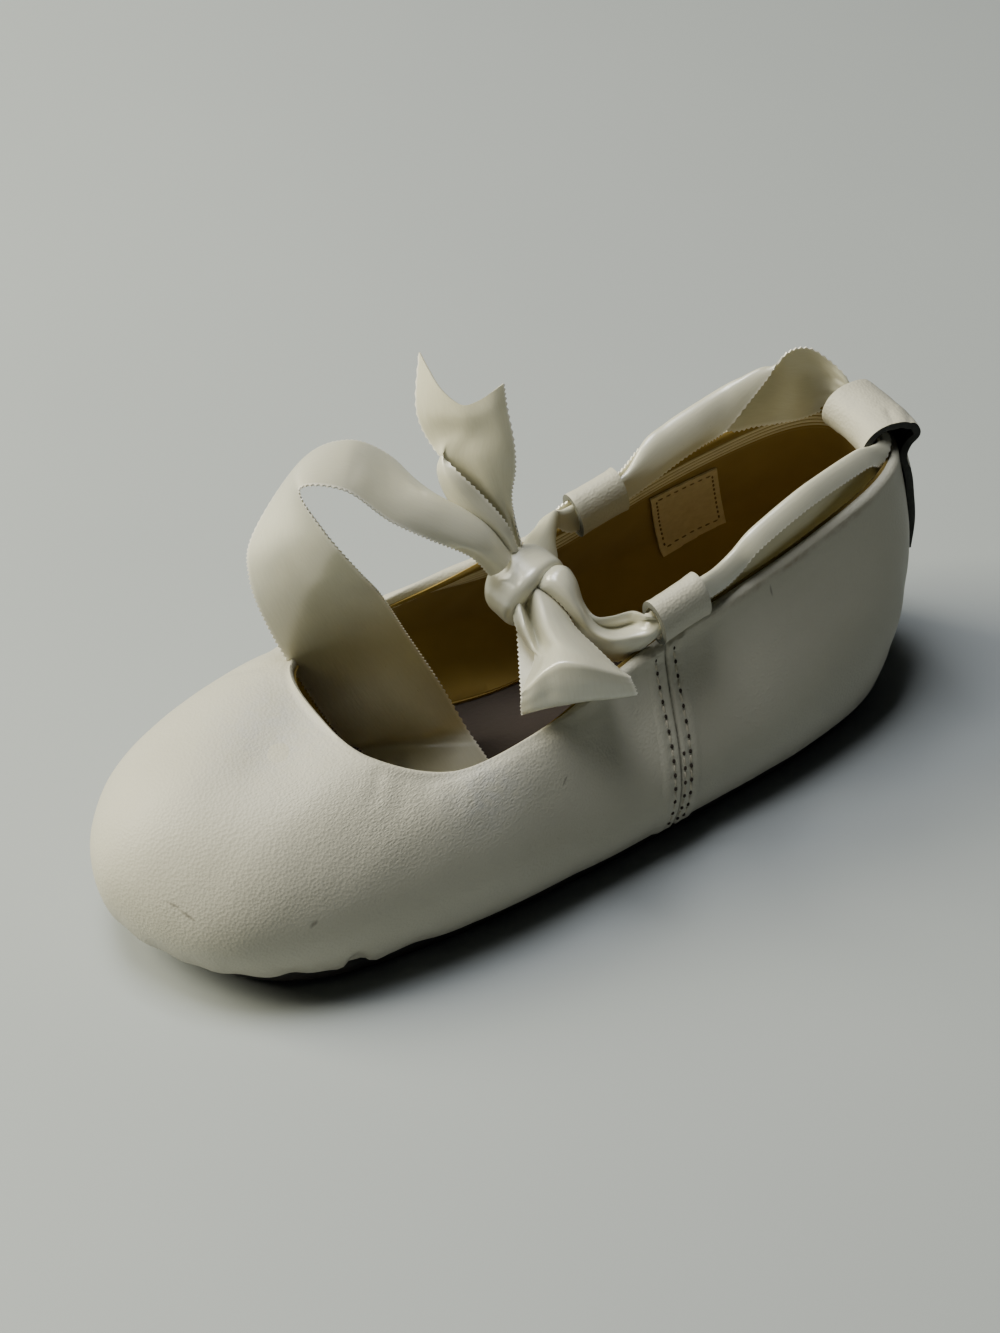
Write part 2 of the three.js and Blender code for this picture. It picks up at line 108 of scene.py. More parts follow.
def through(points, at, closed):
    """A smooth line through points, at row numbers with fractions."""
    last = len(points)
    start = np.floor(at).astype(int)
    if not closed:
        start = np.clip(start, 0, last - 2)
    share = (at - start).reshape(at.shape + (1,) * (points.ndim - 1))
    corners = [start + k for k in (-1, 0, 1, 2)]
    if closed:
        corners = [corner % last for corner in corners]
    else:
        corners = [np.clip(corner, 0, last - 1) for corner in corners]
    a, b, c, d = (points[corner] for corner in corners)
    return 0.5 * (2 * b + (c - a) * share + (2 * a - 5 * b + 4 * c - d) * share ** 2
                  + (3 * b - a - 3 * c + d) * share ** 3)


GUIDES = guide_loops()


def skin(u, v):
    """Outside of the upper: u counts table rows round the shoe, v goes from foot line to rim."""
    u, v = np.broadcast_arrays(np.asarray(u, float), np.asarray(v, float))
    foot, belly, brow, rim = (through(loop, u, True) for loop in GUIDES)
    v = v[..., None]
    w = 1 - v
    return w ** 3 * foot + 3 * w * w * v * belly + 3 * w * v * v * brow + v ** 3 * rim


def lengths(vectors):
    return np.linalg.norm(vectors, axis=-1)


def unit(vectors):
    return vectors / np.maximum(np.linalg.norm(vectors, axis=-1, keepdims=True), 1e-9)


def skin_normal(u, v):
    step = 0.01
    v = np.asarray(v, float)
    around = skin(u + step, v) - skin(u - step, v)
    upward = skin(u, np.minimum(1, v + step)) - skin(u, np.maximum(0, v - step))
    return unit(np.cross(around, upward))


def foot_out(u):
    """Direction out of the foot line, level with the floor."""
    step = 0.01
    tangent = skin(u + step, 0) - skin(u - step, 0)
    return unit(np.stack([tangent[..., 1], -tangent[..., 0], 0 * tangent[..., 0]], -1))


def layer_point(u, inset, height):
    """A point under the foot: so far inside the foot line, so high above the sole's top."""
    point = skin(u, 0) - foot_out(u) * np.asarray(inset, float)[..., None]
    point[..., 2] = SOLE + spring(point[..., 0]) + height
    return point


# Mesh helpers: flat grids that are wrapped to a form, and what finishes them
MERGE = (bpy.ops.mesh.remove_doubles, {"threshold": 0.002 * MM})
FACE_OUT = (bpy.ops.mesh.normals_make_consistent, {"inside": False})


def deselect():
    bpy.ops.object.select_all(action="DESELECT")


def wrapped_grid(name, points, **values):
    """A flat grid wrapped so that its corner i, j lies at points[i, j], with values for the materials."""
    columns, rows = points.shape[0] - 1, points.shape[1] - 1
    deselect()
    bpy.ops.mesh.primitive_grid_add(x_subdivisions=columns, y_subdivisions=rows, size=2)
    piece = bpy.context.object
    piece.name = name
    mesh = piece.data
    flat = np.empty(3 * len(mesh.vertices), np.float32)
    mesh.vertices.foreach_get("co", flat)
    flat = flat.reshape(-1, 3)
    i = np.rint((flat[:, 0] + 1) / 2 * columns).astype(int)
    j = np.rint((flat[:, 1] + 1) / 2 * rows).astype(int)
    placed = (points[i, j] - MIDDLE) * MM
    mesh.vertices.foreach_set("co", placed.astype(np.float32).ravel())
    for key, numbers in values.items():
        layer = mesh.attributes.new(key, "FLOAT", "POINT")
        layer.data.foreach_set("value", numbers[i, j].astype(np.float32))
    mesh.update()
    return piece


def pick(piece):
    """Selects one piece alone and makes it active."""
    deselect()
    piece.select_set(True)
    bpy.context.view_layer.objects.active = piece


def edit(piece, *steps):
    """Runs edit-mode operators on the whole of a piece."""
    pick(piece)
    bpy.ops.object.mode_set(mode="EDIT")
    bpy.ops.mesh.select_all(action="SELECT")
    for operator, settings in steps:
        operator(**settings)
    bpy.ops.object.mode_set(mode="OBJECT")


def apply_modifier(piece, kind, **settings):
    modifier = piece.modifiers.new(kind.title(), kind)
    for key, value in settings.items():
        setattr(modifier, key, value)
    bpy.context.view_layer.objects.active = piece
    bpy.ops.object.modifier_apply(modifier=modifier.name)


def smooth(piece, degrees):
    """Smooth shading, apart from edges that are sharper than so many degrees."""
    pick(piece)
    bpy.ops.object.shade_smooth_by_angle(angle=math.radians(degrees))


def finish_piece(piece, slot, materials, *nodes):
    """Gives a piece its materials, attaches it to the root body and hides the imported nodes it stands for;
    the slot is not used.
    """
    for material in materials:
        piece.data.materials.append(material)
    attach(piece, "root")
    if nodes:
        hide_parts(*nodes)


def closed_piece(name, points, slot, material, node, degrees, **values):
    """A closed skin from a grid whose edges meet."""
    piece = wrapped_grid(name, points, **values)
    edit(piece, MERGE, FACE_OUT)
    finish_piece(piece, slot, (material,), node)
    smooth(piece, degrees)


def wobble(points, height, size, seed):
    """Smooth noise over points, with bumps up and down of about that height and size."""
    flat = points.reshape(-1, 3) / size + seed
    values = [noise.noise(Vector(point)) for point in flat]
    return height * np.array(values).reshape(points.shape[:-1])


def soft(away, half):
    """A soft hump: 1 at no distance, about a third at its half width."""
    return np.exp(-(away / half) ** 2)


# Camera: the photo's place and angle, turned to the one shoe
EYE = np.array([229.1, 227.9, 280.9])
AIM = np.array([66.8, -2.1, 21.0])
PHOTO_UP = np.array([-0.329, -0.547, 0.770])
LENS = 73
SENSOR = 36

camera_data = bpy.data.cameras.new("camera")
camera_data.lens = LENS
camera_data.sensor_width = SENSOR
camera = bpy.data.objects.new("camera", camera_data)
bpy.context.collection.objects.link(camera)
VIEW_BACK = unit(EYE - AIM)
VIEW_RIGHT = unit(np.cross(PHOTO_UP, VIEW_BACK))
VIEW_UP = np.cross(VIEW_BACK, VIEW_RIGHT)
turn = Matrix((VIEW_RIGHT, VIEW_UP, VIEW_BACK)).transposed()
camera.matrix_world = Matrix.Translation(Vector((EYE - MIDDLE) * MM)) @ turn.to_4x4()
bpy.context.scene.camera = camera


# Materials
def colour(code):
    """A hex sRGB colour as linear red, green, blue and alpha."""
    parts = [int(code[k:k + 2], 16) / 255 for k in (1, 3, 5)]
    linear = [c / 12.92 if c <= 0.04045 else ((c + 0.055) / 1.055) ** 2.4 for c in parts]
    return (*linear, 1)


def per_mm(size):
    """Texture scale whose features are so many millimetres across."""
    return 1 / (size * MM)


def add_node(material, kind, values=None, links=None, **settings):
    """A shader node with its settings, the values of its sockets and what is linked to them."""
    made = material.node_tree.nodes.new("ShaderNode" + kind)
    for key, value in settings.items():
        setattr(made, key, value)
    for socket, value in (values or {}).items():
        made.inputs[socket].default_value = value
    for socket, source in (links or {}).items():
        material.node_tree.links.new(source, made.inputs[socket])
    return made


def new_material(name, **values):
    """A material with its shader, on whose sockets the even values are set."""
    material = bpy.data.materials.new(name)
    material.use_nodes = True
    shader = material.node_tree.nodes["Principled BSDF"]
    for key, value in values.items():
        shader.inputs[key.replace("_", " ")].default_value = value
    return material, shader


def link(material, source, target):
    material.node_tree.links.new(source, target)


def mottled(name, size, detail, first, second, reach=None, gloss=None, bump=None, **values):
    """A material mottled between two colours by noise of a size in mm, with what later layers need of it.

    Reach is where in the noise the colours change over if that is not all of it, gloss the roughness at
    the noise's two ends, and bump the size, detail, strength and depth of a fine relief.
    """
    material, shader = new_material(name, **values)
    place = add_node(material, "TexCoord").outputs["Object"]
    mottle = add_node(material, "TexNoise", {"Scale": per_mm(size), "Detail": detail}, {"Vector": place})
    share = mottle.outputs["Fac"]
    if reach:
        share = add_node(material, "MapRange", {"From Min": reach[0], "From Max": reach[1]},
                         {"Value": mottle.outputs["Fac"]}).outputs["Result"]
    tone = add_node(material, "Mix", {"A": colour(first), "B": colour(second)}, {"Factor": share},
                    data_type="RGBA")
    link(material, tone.outputs["Result"], shader.inputs["Base Color"])
    if gloss:
        polish = add_node(material, "MapRange", {"To Min": gloss[0], "To Max": gloss[1]},
                          {"Value": mottle.outputs["Fac"]})
        link(material, polish.outputs["Result"], shader.inputs["Roughness"])
    if bump:
        bump_size, bump_detail, strength, depth = bump
        relief = add_node(material, "TexNoise", {"Scale": per_mm(bump_size), "Detail": bump_detail},
                          {"Vector": place})
        rough = add_node(material, "Bump", {"Strength": strength, "Distance": depth * MM},
                         {"Height": relief.outputs["Fac"]})
        link(material, rough.outputs["Normal"], shader.inputs["Normal"])
    return material, shader, place, tone.outputs["Result"]


# What the upper's attributes colour: dirt and painted shade along the foot, painted shade in the gathers,
# wear along the rim, painted cool shade, and the seam's gap
LEATHER_MARKS = (("dirt_and_painted_shade", "#8b8478"), ("rub", "#8d7a63"), ("painted_cool_shade", "#b9bcc4"), ("gap", "#2f2a23"))
# Scratches on the leather: middle, direction, half length, half width
SCRATCHES = [
    [(125.4, 12.2, 15.8), (-0.35, 0.62, -0.70), 1.3, 0.12],
    [(126.3, 10.6, 17.0), (-0.40, 0.60, -0.69), 0.8, 0.10],
    [(111.1, 21.5, 14.8), (-0.80, 0.05, 0.60), 0.8, 0.12],
    [(32.7, 14.9, 32.6), (-0.15, 0.30, -0.94), 1.0, 0.16],
    [(71.9, 21.7, 21.2), (0.60, 0.30, -0.74), 0.8, 0.10],
]
SCRATCH_HALF_DEPTH = 3
# A real twill line is about 0.4 mm. It is drawn much coarser than that, at 4.4 mm from line to line.
TWILL_PITCH = 4.4
# Length over which a wave texture of scale 1 repeats
WAVE_REPEAT = 2 * math.pi / 20


def ivory_leather():
    """Ivory calf leather, tanned smooth: a fine pebble grain, a low sheen, soft grey wear and dirt, and
    painted shade along the foot, in the gathers and in the troughs.
    """
    material, shader, place, tone = mottled("ivory_calf_leather", 16, 3, "#c9c6b5", "#bcb9a8",
                                            gloss=(0.42, 0.58), IOR=1.48, Specular_IOR_Level=0.38)
    # Wear, dirt and painted shade are broken up by specks of about a millimetre
    speckle = add_node(material, "TexNoise", {"Scale": per_mm(1.3), "Detail": 4}, {"Vector": place})
    broken = add_node(material, "MapRange", {"From Min": 0.3, "From Max": 0.75, "To Min": 0.25},
                      {"Value": speckle.outputs["Fac"]})
    for key, shade in LEATHER_MARKS:
        mask = add_node(material, "Attribute", attribute_name=key)
        share = add_node(material, "Math", None, {0: mask.outputs["Fac"], 1: broken.outputs["Result"]},
                         operation="MULTIPLY", use_clamp=True)
        layer = add_node(material, "Mix", {"B": colour(shade)},
                         {"A": tone, "Factor": share.outputs["Value"]}, data_type="RGBA")
        tone = layer.outputs["Result"]
    for middle, direction, half_long, half_wide in SCRATCHES:
        turned = Vector(direction).to_track_quat("X", "Z").to_euler()
        spot = add_node(material, "Mapping",
                        {"Location": (np.array(middle) - MIDDLE) * MM, "Rotation": turned,
                         "Scale": np.array([half_long, half_wide, SCRATCH_HALF_DEPTH]) * MM},
                        {"Vector": place}, vector_type="TEXTURE")
        near = add_node(material, "VectorMath", None, {0: spot.outputs["Vector"]}, operation="LENGTH")
        mark = add_node(material, "MapRange",
                        {"From Min": 0.4, "From Max": 1.2, "To Min": 0.5, "To Max": 0.0},
                        {"Value": near.outputs["Value"]})
        layer = add_node(material, "Mix", {"B": colour("#4e443a")},
                         {"A": tone, "Factor": mark.outputs["Result"]}, data_type="RGBA")
        tone = layer.outputs["Result"]
    link(material, tone, shader.inputs["Base Color"])
    # The real pebbles are about 0.3 mm, drawn a little coarser so that they show
    pebbles = add_node(material, "TexVoronoi", {"Scale": per_mm(0.42)}, {"Vector": place})
    grain = add_node(material, "Bump", {"Strength": 0.6, "Distance": 0.08 * MM},
                     {"Height": pebbles.outputs["Distance"]})
    # Fine creases, about 0.2 mm wide and three times as long, where the vamp is stretched
    stretched = add_node(material, "Mapping", {"Rotation": (0.0, 0.41, 0.0), "Scale": (3.0, 1.0, 1.0)},
                         {"Vector": place}, vector_type="TEXTURE")
    creases = add_node(material, "TexNoise", {"Scale": per_mm(0.2), "Detail": 1, "Distortion": 0.2},
                       {"Vector": stretched.outputs["Vector"]})
    wrinkle = add_node(material, "Attribute", attribute_name="wrinkle")
    folds = add_node(material, "Math", None, {0: creases.outputs["Fac"], 1: wrinkle.outputs["Fac"]},
                     operation="MULTIPLY")
    bumps = add_node(material, "Bump", {"Strength": 1.0, "Distance": 0.10 * MM},
                     {"Height": folds.outputs["Value"], "Normal": grain.outputs["Normal"]})
    link(material, bumps.outputs["Normal"], shader.inputs["Normal"])
    return material


def ochre_lining():
    """Cotton drill lining, woven and dyed ochre: matt, with a slanting twill, and a painted highlight that
    makes the tops of its ribs pale.
    """
    material, shader, place, tone = mottled("ochre_cotton_lining", 9, 4, "#9d8440", "#7f692e",
                                            Roughness=0.9, IOR=1.45, Sheen_Weight=0.15)
    # The tops of the ribs are painted pale as a highlight
    ridge = add_node(material, "Attribute", attribute_name="ridge")
    rib_highlighted = add_node(material, "Mix", {"B": colour("#ece3c2")},
                      {"A": tone, "Factor": ridge.outputs["Fac"]}, data_type="RGBA")
    link(material, rib_highlighted.outputs["Result"], shader.inputs["Base Color"])
    slanted = add_node(material, "Mapping", {"Rotation": (0.0, 0.8, 0.0)}, {"Vector": place})
    twill = add_node(material, "TexWave", {"Scale": per_mm(TWILL_PITCH) * WAVE_REPEAT, "Distortion": 0.5},
                     {"Vector": slanted.outputs["Vector"]})
    weave = add_node(material, "Bump", {"Strength": 0.2, "Distance": 0.1 * MM},
                     {"Height": twill.outputs["Fac"]})
    link(material, weave.outputs["Normal"], shader.inputs["Normal"])
    return material


def satin(name, pale, deep, roughness, coat):
    """Polyester satin ribbon: long floats along it that gleam on the face and lie dull on the back."""
    material, shader = new_material(name, IOR=1.64, Coat_Weight=coat, Coat_Roughness=0.3,
                                    Subsurface_Weight=0.18, Subsurface_Scale=MM,
                                    Subsurface_Radius=(1.0, 0.94, 0.75), Specular_IOR_Level=1.0,
                                    Anisotropic=0.75, Anisotropic_Rotation=0.25)
    # The gleam is drawn out across the floats, which run along the ribbon
    run = add_node(material, "Tangent", direction_type="UV_MAP", uv_map="UVMap")
    link(material, run.outputs["Tangent"], shader.inputs["Tangent"])
    along = add_node(material, "Attribute", attribute_name="along")
    across = add_node(material, "Attribute", attribute_name="across")
    cloth = add_node(material, "CombineXYZ", None,
                     {"X": along.outputs["Fac"], "Y": across.outputs["Fac"]})
    floats = add_node(material, "Mapping", {"Scale": FLOATS_PER_MM}, {"Vector": cloth.outputs["Vector"]})
    threads = add_node(material, "TexNoise", {"Scale": 1.0, "Detail": 3},
                       {"Vector": floats.outputs["Vector"]})
    tone = add_node(material, "Mix", {"A": colour(pale), "B": colour(deep)},
                    {"Factor": threads.outputs["Fac"]}, data_type="RGBA")
    # A painted highlight along each edge, where the selvedge's looped weft catches the light, shows as a
    # paler line
    from_middle = add_node(material, "Math", None, {0: across.outputs["Fac"]}, operation="ABSOLUTE")
    edge = add_node(material, "MapRange",
                    {"From Min": RIBBON_WIDTH / 2 - SELVEDGE_WIDTH, "From Max": RIBBON_WIDTH / 2},
                    {"Value": from_middle.outputs["Value"]})
    selvedge_highlighted = add_node(material, "Mix", {"B": colour("#f4f0e0")},
                     {"A": tone.outputs["Result"], "Factor": edge.outputs["Result"]}, data_type="RGBA")
    link(material, selvedge_highlighted.outputs["Result"], shader.inputs["Base Color"])
    gleam = add_node(material, "MapRange",
                     {"To Min": roughness - GLEAM_SPREAD, "To Max": roughness + GLEAM_SPREAD},
                     {"Value": threads.outputs["Fac"]})
    link(material, gleam.outputs["Result"], shader.inputs["Roughness"])
    weave = add_node(material, "Bump", {"Strength": 0.22, "Distance": 0.08 * MM},
                     {"Height": threads.outputs["Fac"]})
    link(material, weave.outputs["Normal"], shader.inputs["Normal"])
    return material


# Ribbon: 16 mm satin, laid out as rows of points across it from one selvedge to the other
RIBBON_WIDTH = 16
RIBBON_THICKNESS = 0.25
SELVEDGE_WIDTH = 0.7
SELVEDGE_PITCH = 0.75
SELVEDGE_TOOTH = 0.14
ACROSS = 36
FINE_STEPS = 600
# Floats are about 0.1 mm wide and some millimetres long, drawn 0.3 mm wide so that they show
FLOATS_PER_MM = (0.45, 3.2, 1)
GLEAM_SPREAD = 0.06

# The materials of the pieces
LEATHER = ivory_leather()
LINING = ochre_lining()
SATIN_FACE = satin("satin_ribbon_face", "#dad8c4", "#cdcab4", 0.30, 0.25)
SATIN_BACK = satin("satin_ribbon_back", "#d6d3ba", "#c7c3a7", 0.5, 0.0)
# Cut edge of the leather, and its flesh side stained black: fibrous and dull
RAW_FIBRES = {"bump": (0.8, 5, 0.4, 0.15), "Roughness": 0.85, "IOR": 1.48}
RAW_EDGE, *_ = mottled("raw_leather_edge", 0.8, 5, "#5a5b54", "#83847a", **RAW_FIBRES)
FLESH_SIDE, *_ = mottled("black_flesh_side_leather", 0.8, 5, "#282926", "#42433e", **RAW_FIBRES)
# Woven tape of the blank label: slubby, paler than the lining
LABEL, *_ = mottled("woven_label_tape", 1.1, 3, "#d8c8a4", "#b8a880", bump=(1.1, 3, 0.3, 0.1),
                    Roughness=0.85, IOR=1.45)
# Suede split leather, buffed: a short dull nap in pinkish grey, darker where it is worn; its colour is
# painted much darker as the shade inside the shoe
SUEDE_IN_PAINTED_SHADE, *_ = mottled("pink_grey_suede_in_painted_shade", 12, 5, "#4b423c", "#362e29", bump=(0.7, 4, 0.35, 0.2),
                    Roughness=0.95, IOR=1.45, Sheen_Weight=0.25)
# Sole leather, dark of its own and painted near black as the shade under the overhanging upper: matt, with
# dusty scuffs
SOLE_LEATHER_AND_SHADE, *_ = mottled("black_sole_leather_and_painted_shade", 7, 7, "#141110", "#352f2a", reach=(0.45, 0.8),
                           gloss=(0.6, 0.85), bump=(0.9, 4, 0.3, 0.15), IOR=1.48)
# Spun sewing thread: dull, its twist showing as a light mottle
THREAD, *_ = mottled("ivory_sewing_thread", 0.5, 2, "#cfc9b5", "#b5ad97", Roughness=0.8, IOR=1.5)
LABEL_THREAD, *_ = mottled("ochre_sewing_thread", 0.5, 2, "#75603a", "#574629", Roughness=0.8, IOR=1.5)
# Needle holes: dark beads of painted shade, standing for the shade inside each hole
HOLE_PAINTED_SHADE, *_ = mottled("needle_hole_painted_shade", 0.6, 2, "#211b16", "#463b31", Roughness=1.0)
# Painted board of the floor: pale cool grey and matt
BOARD, *_ = mottled("pale_painted_board", 120, 3, "#abb1b2", "#a2a8aa", Roughness=0.6)

# The bow's rows are set as the camera sees them: millimetres to the right of the knot's middle,
# above it, and nearer than it
KNOT = np.array([65.8, -1.0, 38.6])
SMALL_LOOP = [
    [(0.6, -1.0, -0.2), (1.0, -0.8, 0.4), (1.4, -1.0, 0.2), (1.9, -0.8, 0.9), (2.4, -1.0, 1.1),
     (3.0, -1.4, 0.8), (3.3, -1.9, 0.2)],
    [(-0.2, -3.9, 1.0), (0.6, -3.5, 2.6), (1.5, -3.9, 0.6), (2.8, -2.6, 3.0), (4.2, -3.2, 3.4),
     (5.6, -3.9, 2.6), (6.5, -4.6, 1.4)],
    [(0.1, -6.9, 2.2), (1.2, -6.6, 4.4), (2.4, -7.1, 0.8), (3.7, -6.4, 5.6), (5.3, -6.6, 6.2),
     (7.1, -6.9, 5.0), (8.3, -7.3, 3.6)],
    [(1.7, -9.8, 3.2), (2.6, -10.1, 5.6), (3.3, -9.6, 2.8), (4.8, -8.9, 8.0), (6.7, -9.1, 8.8),
     (9.4, -9.6, 7.4), (11.2, -10.1, 6.0)],
    [(2.8, -11.4, 6.0), (3.5, -11.7, 8.0), (4.4, -11.2, 9.2), (6.2, -10.7, 10.8), (9.0, -11.0, 10.6),
     (12.1, -11.9, 9.0), (14.0, -12.8, 7.6)],
    [(1.0, -16.0, 9.4), (2.3, -14.8, 10.6), (4.0, -13.2, 11.7), (6.2, -12.1, 12.5), (9.2, -12.3, 12.2),
     (12.8, -13.2, 10.6), (15.8, -14.1, 8.8)],
    [(1.0, -16.7, 9.4), (2.4, -15.7, 10.6), (4.2, -14.2, 11.6), (6.4, -13.3, 12.3), (9.4, -13.3, 12.0),
     (13.0, -13.9, 10.5), (16.0, -14.6, 8.8)],
    [(0.8, -18.0, 8.4), (2.4, -17.3, 9.6), (4.6, -16.2, 10.4), (6.7, -15.7, 11.0), (9.8, -15.5, 10.8),
     (13.3, -15.5, 9.7), (16.4, -15.3, 8.5)],
    [(1.0, -19.1, 6.8), (2.6, -18.7, 7.7), (4.8, -18.2, 8.3), (7.1, -17.8, 8.6), (9.9, -17.3, 8.5),
     (13.5, -16.9, 7.9), (16.5, -16.4, 7.4)],
    [(0.8, -15.8, 3.2), (2.6, -15.8, 3.8), (4.6, -15.5, 4.3), (6.5, -14.9, 4.5), (8.7, -14.4, 4.5),
     (10.8, -13.9, 4.4), (12.8, -13.3, 4.2)],
    [(0.5, -10.8, 0.4), (2.1, -10.5, 0.8), (3.5, -10.1, 1.1), (4.9, -9.8, 1.2), (6.4, -9.4, 1.2),
     (7.8, -9.1, 1.1), (9.0, -8.9, 1.0)],
    [(0.3, -6.9, -0.8), (1.4, -6.6, -0.5), (2.3, -6.6, -0.9), (3.1, -6.4, -0.4), (4.0, -6.2, -0.8),
     (4.9, -6.0, -0.4), (5.8, -5.8, -0.6)],
    [(0.8, -2.8, -1.2), (1.2, -2.6, -1.0), (1.5, -2.6, -1.3), (1.9, -2.4, -1.0), (2.3, -2.4, -1.3),
     (2.6, -2.3, -1.0), (3.0, -2.3, -1.2)],
]
TAIL = [
    [(0.5, 3.1, 0.6), (-0.1, 3.1, 1.2), (-0.8, 3.1, 0.7), (-0.4, 3.4, -0.3), (0.1, 3.4, 0.3),
     (0.6, 3.4, -0.3), (1.2, 3.3, 0.3)],
    [(-0.8, 6.5, 2.9), (-1.9, 5.9, 3.2), (-3.3, 6.1, 2.2), (-2.0, 7.4, 1.4), (-1.0, 7.6, 2.2),
     (-0.4, 7.4, 1.6), (0.1, 7.0, 2.0)],
    [(-3.8, 10.2, 4.9), (-6.1, 9.5, 5.2), (-8.5, 9.5, 3.6), (-6.0, 11.5, 3.6), (-3.5, 11.7, 4.8),
     (-1.7, 11.3, 4.4), (-0.4, 10.8, 3.8)],
    [(-7.9, 14.2, 6.6), (-9.4, 13.8, 6.4), (-10.6, 14.5, 4.6), (-8.1, 15.8, 5.8), (-4.9, 15.9, 7.4),
     (-2.2, 15.4, 7.4), (0.1, 14.5, 6.4)],
    [(-11.3, 17.6, 4.4), (-10.2, 18.3, 5.8), (-8.6, 19.0, 7.2), (-6.7, 19.2, 8.4), (-4.4, 19.2, 9.0),
     (-2.0, 18.8, 9.0), (-0.1, 18.1, 8.2)],
    [(-13.5, 22.7, 4.8), (-11.9, 22.4, 6.8), (-9.5, 22.0, 8.6), (-7.0, 21.5, 9.8), (-4.7, 21.8, 10.2),
     (-2.7, 22.6, 10.2), (-1.1, 23.1, 9.4)],
    [(-13.1, 30.6, 5.6), (-11.9, 28.3, 7.6), (-10.1, 25.4, 9.2), (-7.4, 23.3, 10.2), (-5.1, 23.8, 10.5),
     (-3.1, 25.1, 10.6), (-1.5, 26.3, 10.2)],
]
TIE_LEFT_START = [
    [(2.3, -1.6, 0.5), (2.4, -1.4, 0.9), (2.6, -1.0, 1.1), (2.8, -0.7, 1.2), (3.0, -0.3, 1.1),
     (3.1, 0.1, 0.8), (3.3, 0.4, 0.5), (3.3, 0.6, 0.0), (3.1, 0.6, -0.6)],
    [(3.1, -1.9, 2.0), (3.5, -1.6, 2.8), (4.0, -1.0, 3.3), (4.4, -0.5, 3.5), (4.9, 0.1, 3.4),
     (5.5, 0.6, 3.1), (6.2, 1.1, 2.4), (6.7, 1.1, 1.2), (6.7, 0.8, 0.2)],
    [(4.9, -2.8, 2.4), (5.3, -2.4, 3.4), (5.8, -2.1, 4.0), (6.5, -1.7, 4.2), (7.1, -1.4, 3.9),
     (7.6, -0.8, 3.3), (8.1, -0.5, 2.2), (8.3, -0.7, 0.8), (8.1, -1.0, -0.4)],
    [(7.4, -5.3, 2.0), (7.8, -4.9, 2.9), (8.1, -4.6, 3.5), (8.5, -4.4, 3.6), (8.9, -4.2, 3.1),
     (9.0, -3.9, 2.4), (9.2, -3.7, 1.4), (9.4, -3.9, 0.3), (9.2, -4.2, -0.8)],
    [(10.1, -9.9, -1.2), (10.3, -8.9, 0.4), (10.5, -8.2, 1.5), (10.6, -7.6, 2.1), (10.8, -7.1, 1.7),
     (11.0, -6.6, 0.8), (11.0, -6.2, 1.1), (11.0, -5.8, 1.0), (11.0, -6.4, -0.2)],
    [(13.3, -11.9, -2.6), (13.3, -10.8, -0.6), (13.3, -9.8, 1.1), (13.3, -8.9, 2.2), (13.3, -8.2, 1.2),
     (13.3, -7.4, -0.7), (13.3, -6.6, 0.3), (13.3, -5.8, 0.8), (13.5, -6.4, -0.8)],
    [(16.4, -11.0, -2.0), (16.4, -10.1, -0.2), (16.4, -9.2, 1.0), (16.4, -8.5, 1.8), (16.2, -7.6, 0.7),
     (16.2, -6.7, -0.6), (16.2, -5.8, 0.4), (16.2, -5.1, 0.8), (16.4, -5.5, -0.7)],
]
TIE_RIGHT_LEAF = [
    [(28.9, 19.7, -21.3), (28.7, 21.5, -20.4), (28.5, 23.3, -19.9), (28.3, 24.9, -19.9), (28.3, 25.6, -20.6),
     (28.7, 24.9, -21.6), (29.0, 23.1, -22.3), (29.2, 21.5, -22.9), (29.4, 19.7, -23.6)],
    [(32.1, 23.6, -20.8), (31.4, 24.7, -20.3), (31.0, 25.8, -20.1), (30.6, 26.5, -20.2), (30.8, 26.8, -20.8),
     (31.2, 25.9, -21.8), (31.7, 24.2, -22.8), (32.3, 22.2, -23.8), (32.6, 20.2, -24.9)],
    [(34.6, 26.8, -20.4), (34.4, 27.6, -20.3), (34.2, 28.1, -20.4), (34.2, 28.4, -20.7), (34.4, 27.9, -21.5),
     (34.8, 26.3, -22.7), (35.3, 24.5, -23.9), (35.8, 22.6, -25.1), (36.4, 20.8, -26.3)],
    [(37.3, 30.4, -20.6), (37.3, 29.7, -21.1), (37.4, 28.8, -21.7), (37.6, 27.7, -22.5), (37.8, 26.5, -23.4),
     (38.0, 25.2, -24.4), (38.3, 23.8, -25.4), (38.7, 22.4, -26.5), (39.0, 21.3, -27.4)],
    [(40.3, 31.1, -21.2), (40.3, 30.1, -22.0), (40.5, 29.0, -22.9), (40.5, 27.7, -23.7), (40.6, 26.5, -24.6),
     (40.8, 25.4, -25.4), (41.0, 24.2, -26.3), (41.2, 23.1, -27.1), (41.4, 22.2, -27.8)],
    [(43.3, 29.3, -22.3), (43.1, 28.6, -22.8), (43.1, 27.7, -23.4), (43.1, 27.0, -24.0), (43.1, 26.1, -24.6),
     (43.1, 25.4, -25.1), (43.1, 24.7, -25.7), (43.1, 23.8, -26.3), (43.3, 23.1, -26.9)],
    [(45.6, 26.8, -22.9), (45.5, 26.5, -22.7), (45.5, 25.9, -22.9), (45.3, 25.6, -23.1), (45.1, 25.1, -23.5),
     (45.1, 24.7, -23.9), (44.9, 24.2, -24.3), (44.9, 23.6, -24.8), (45.1, 23.3, -25.4)],
]
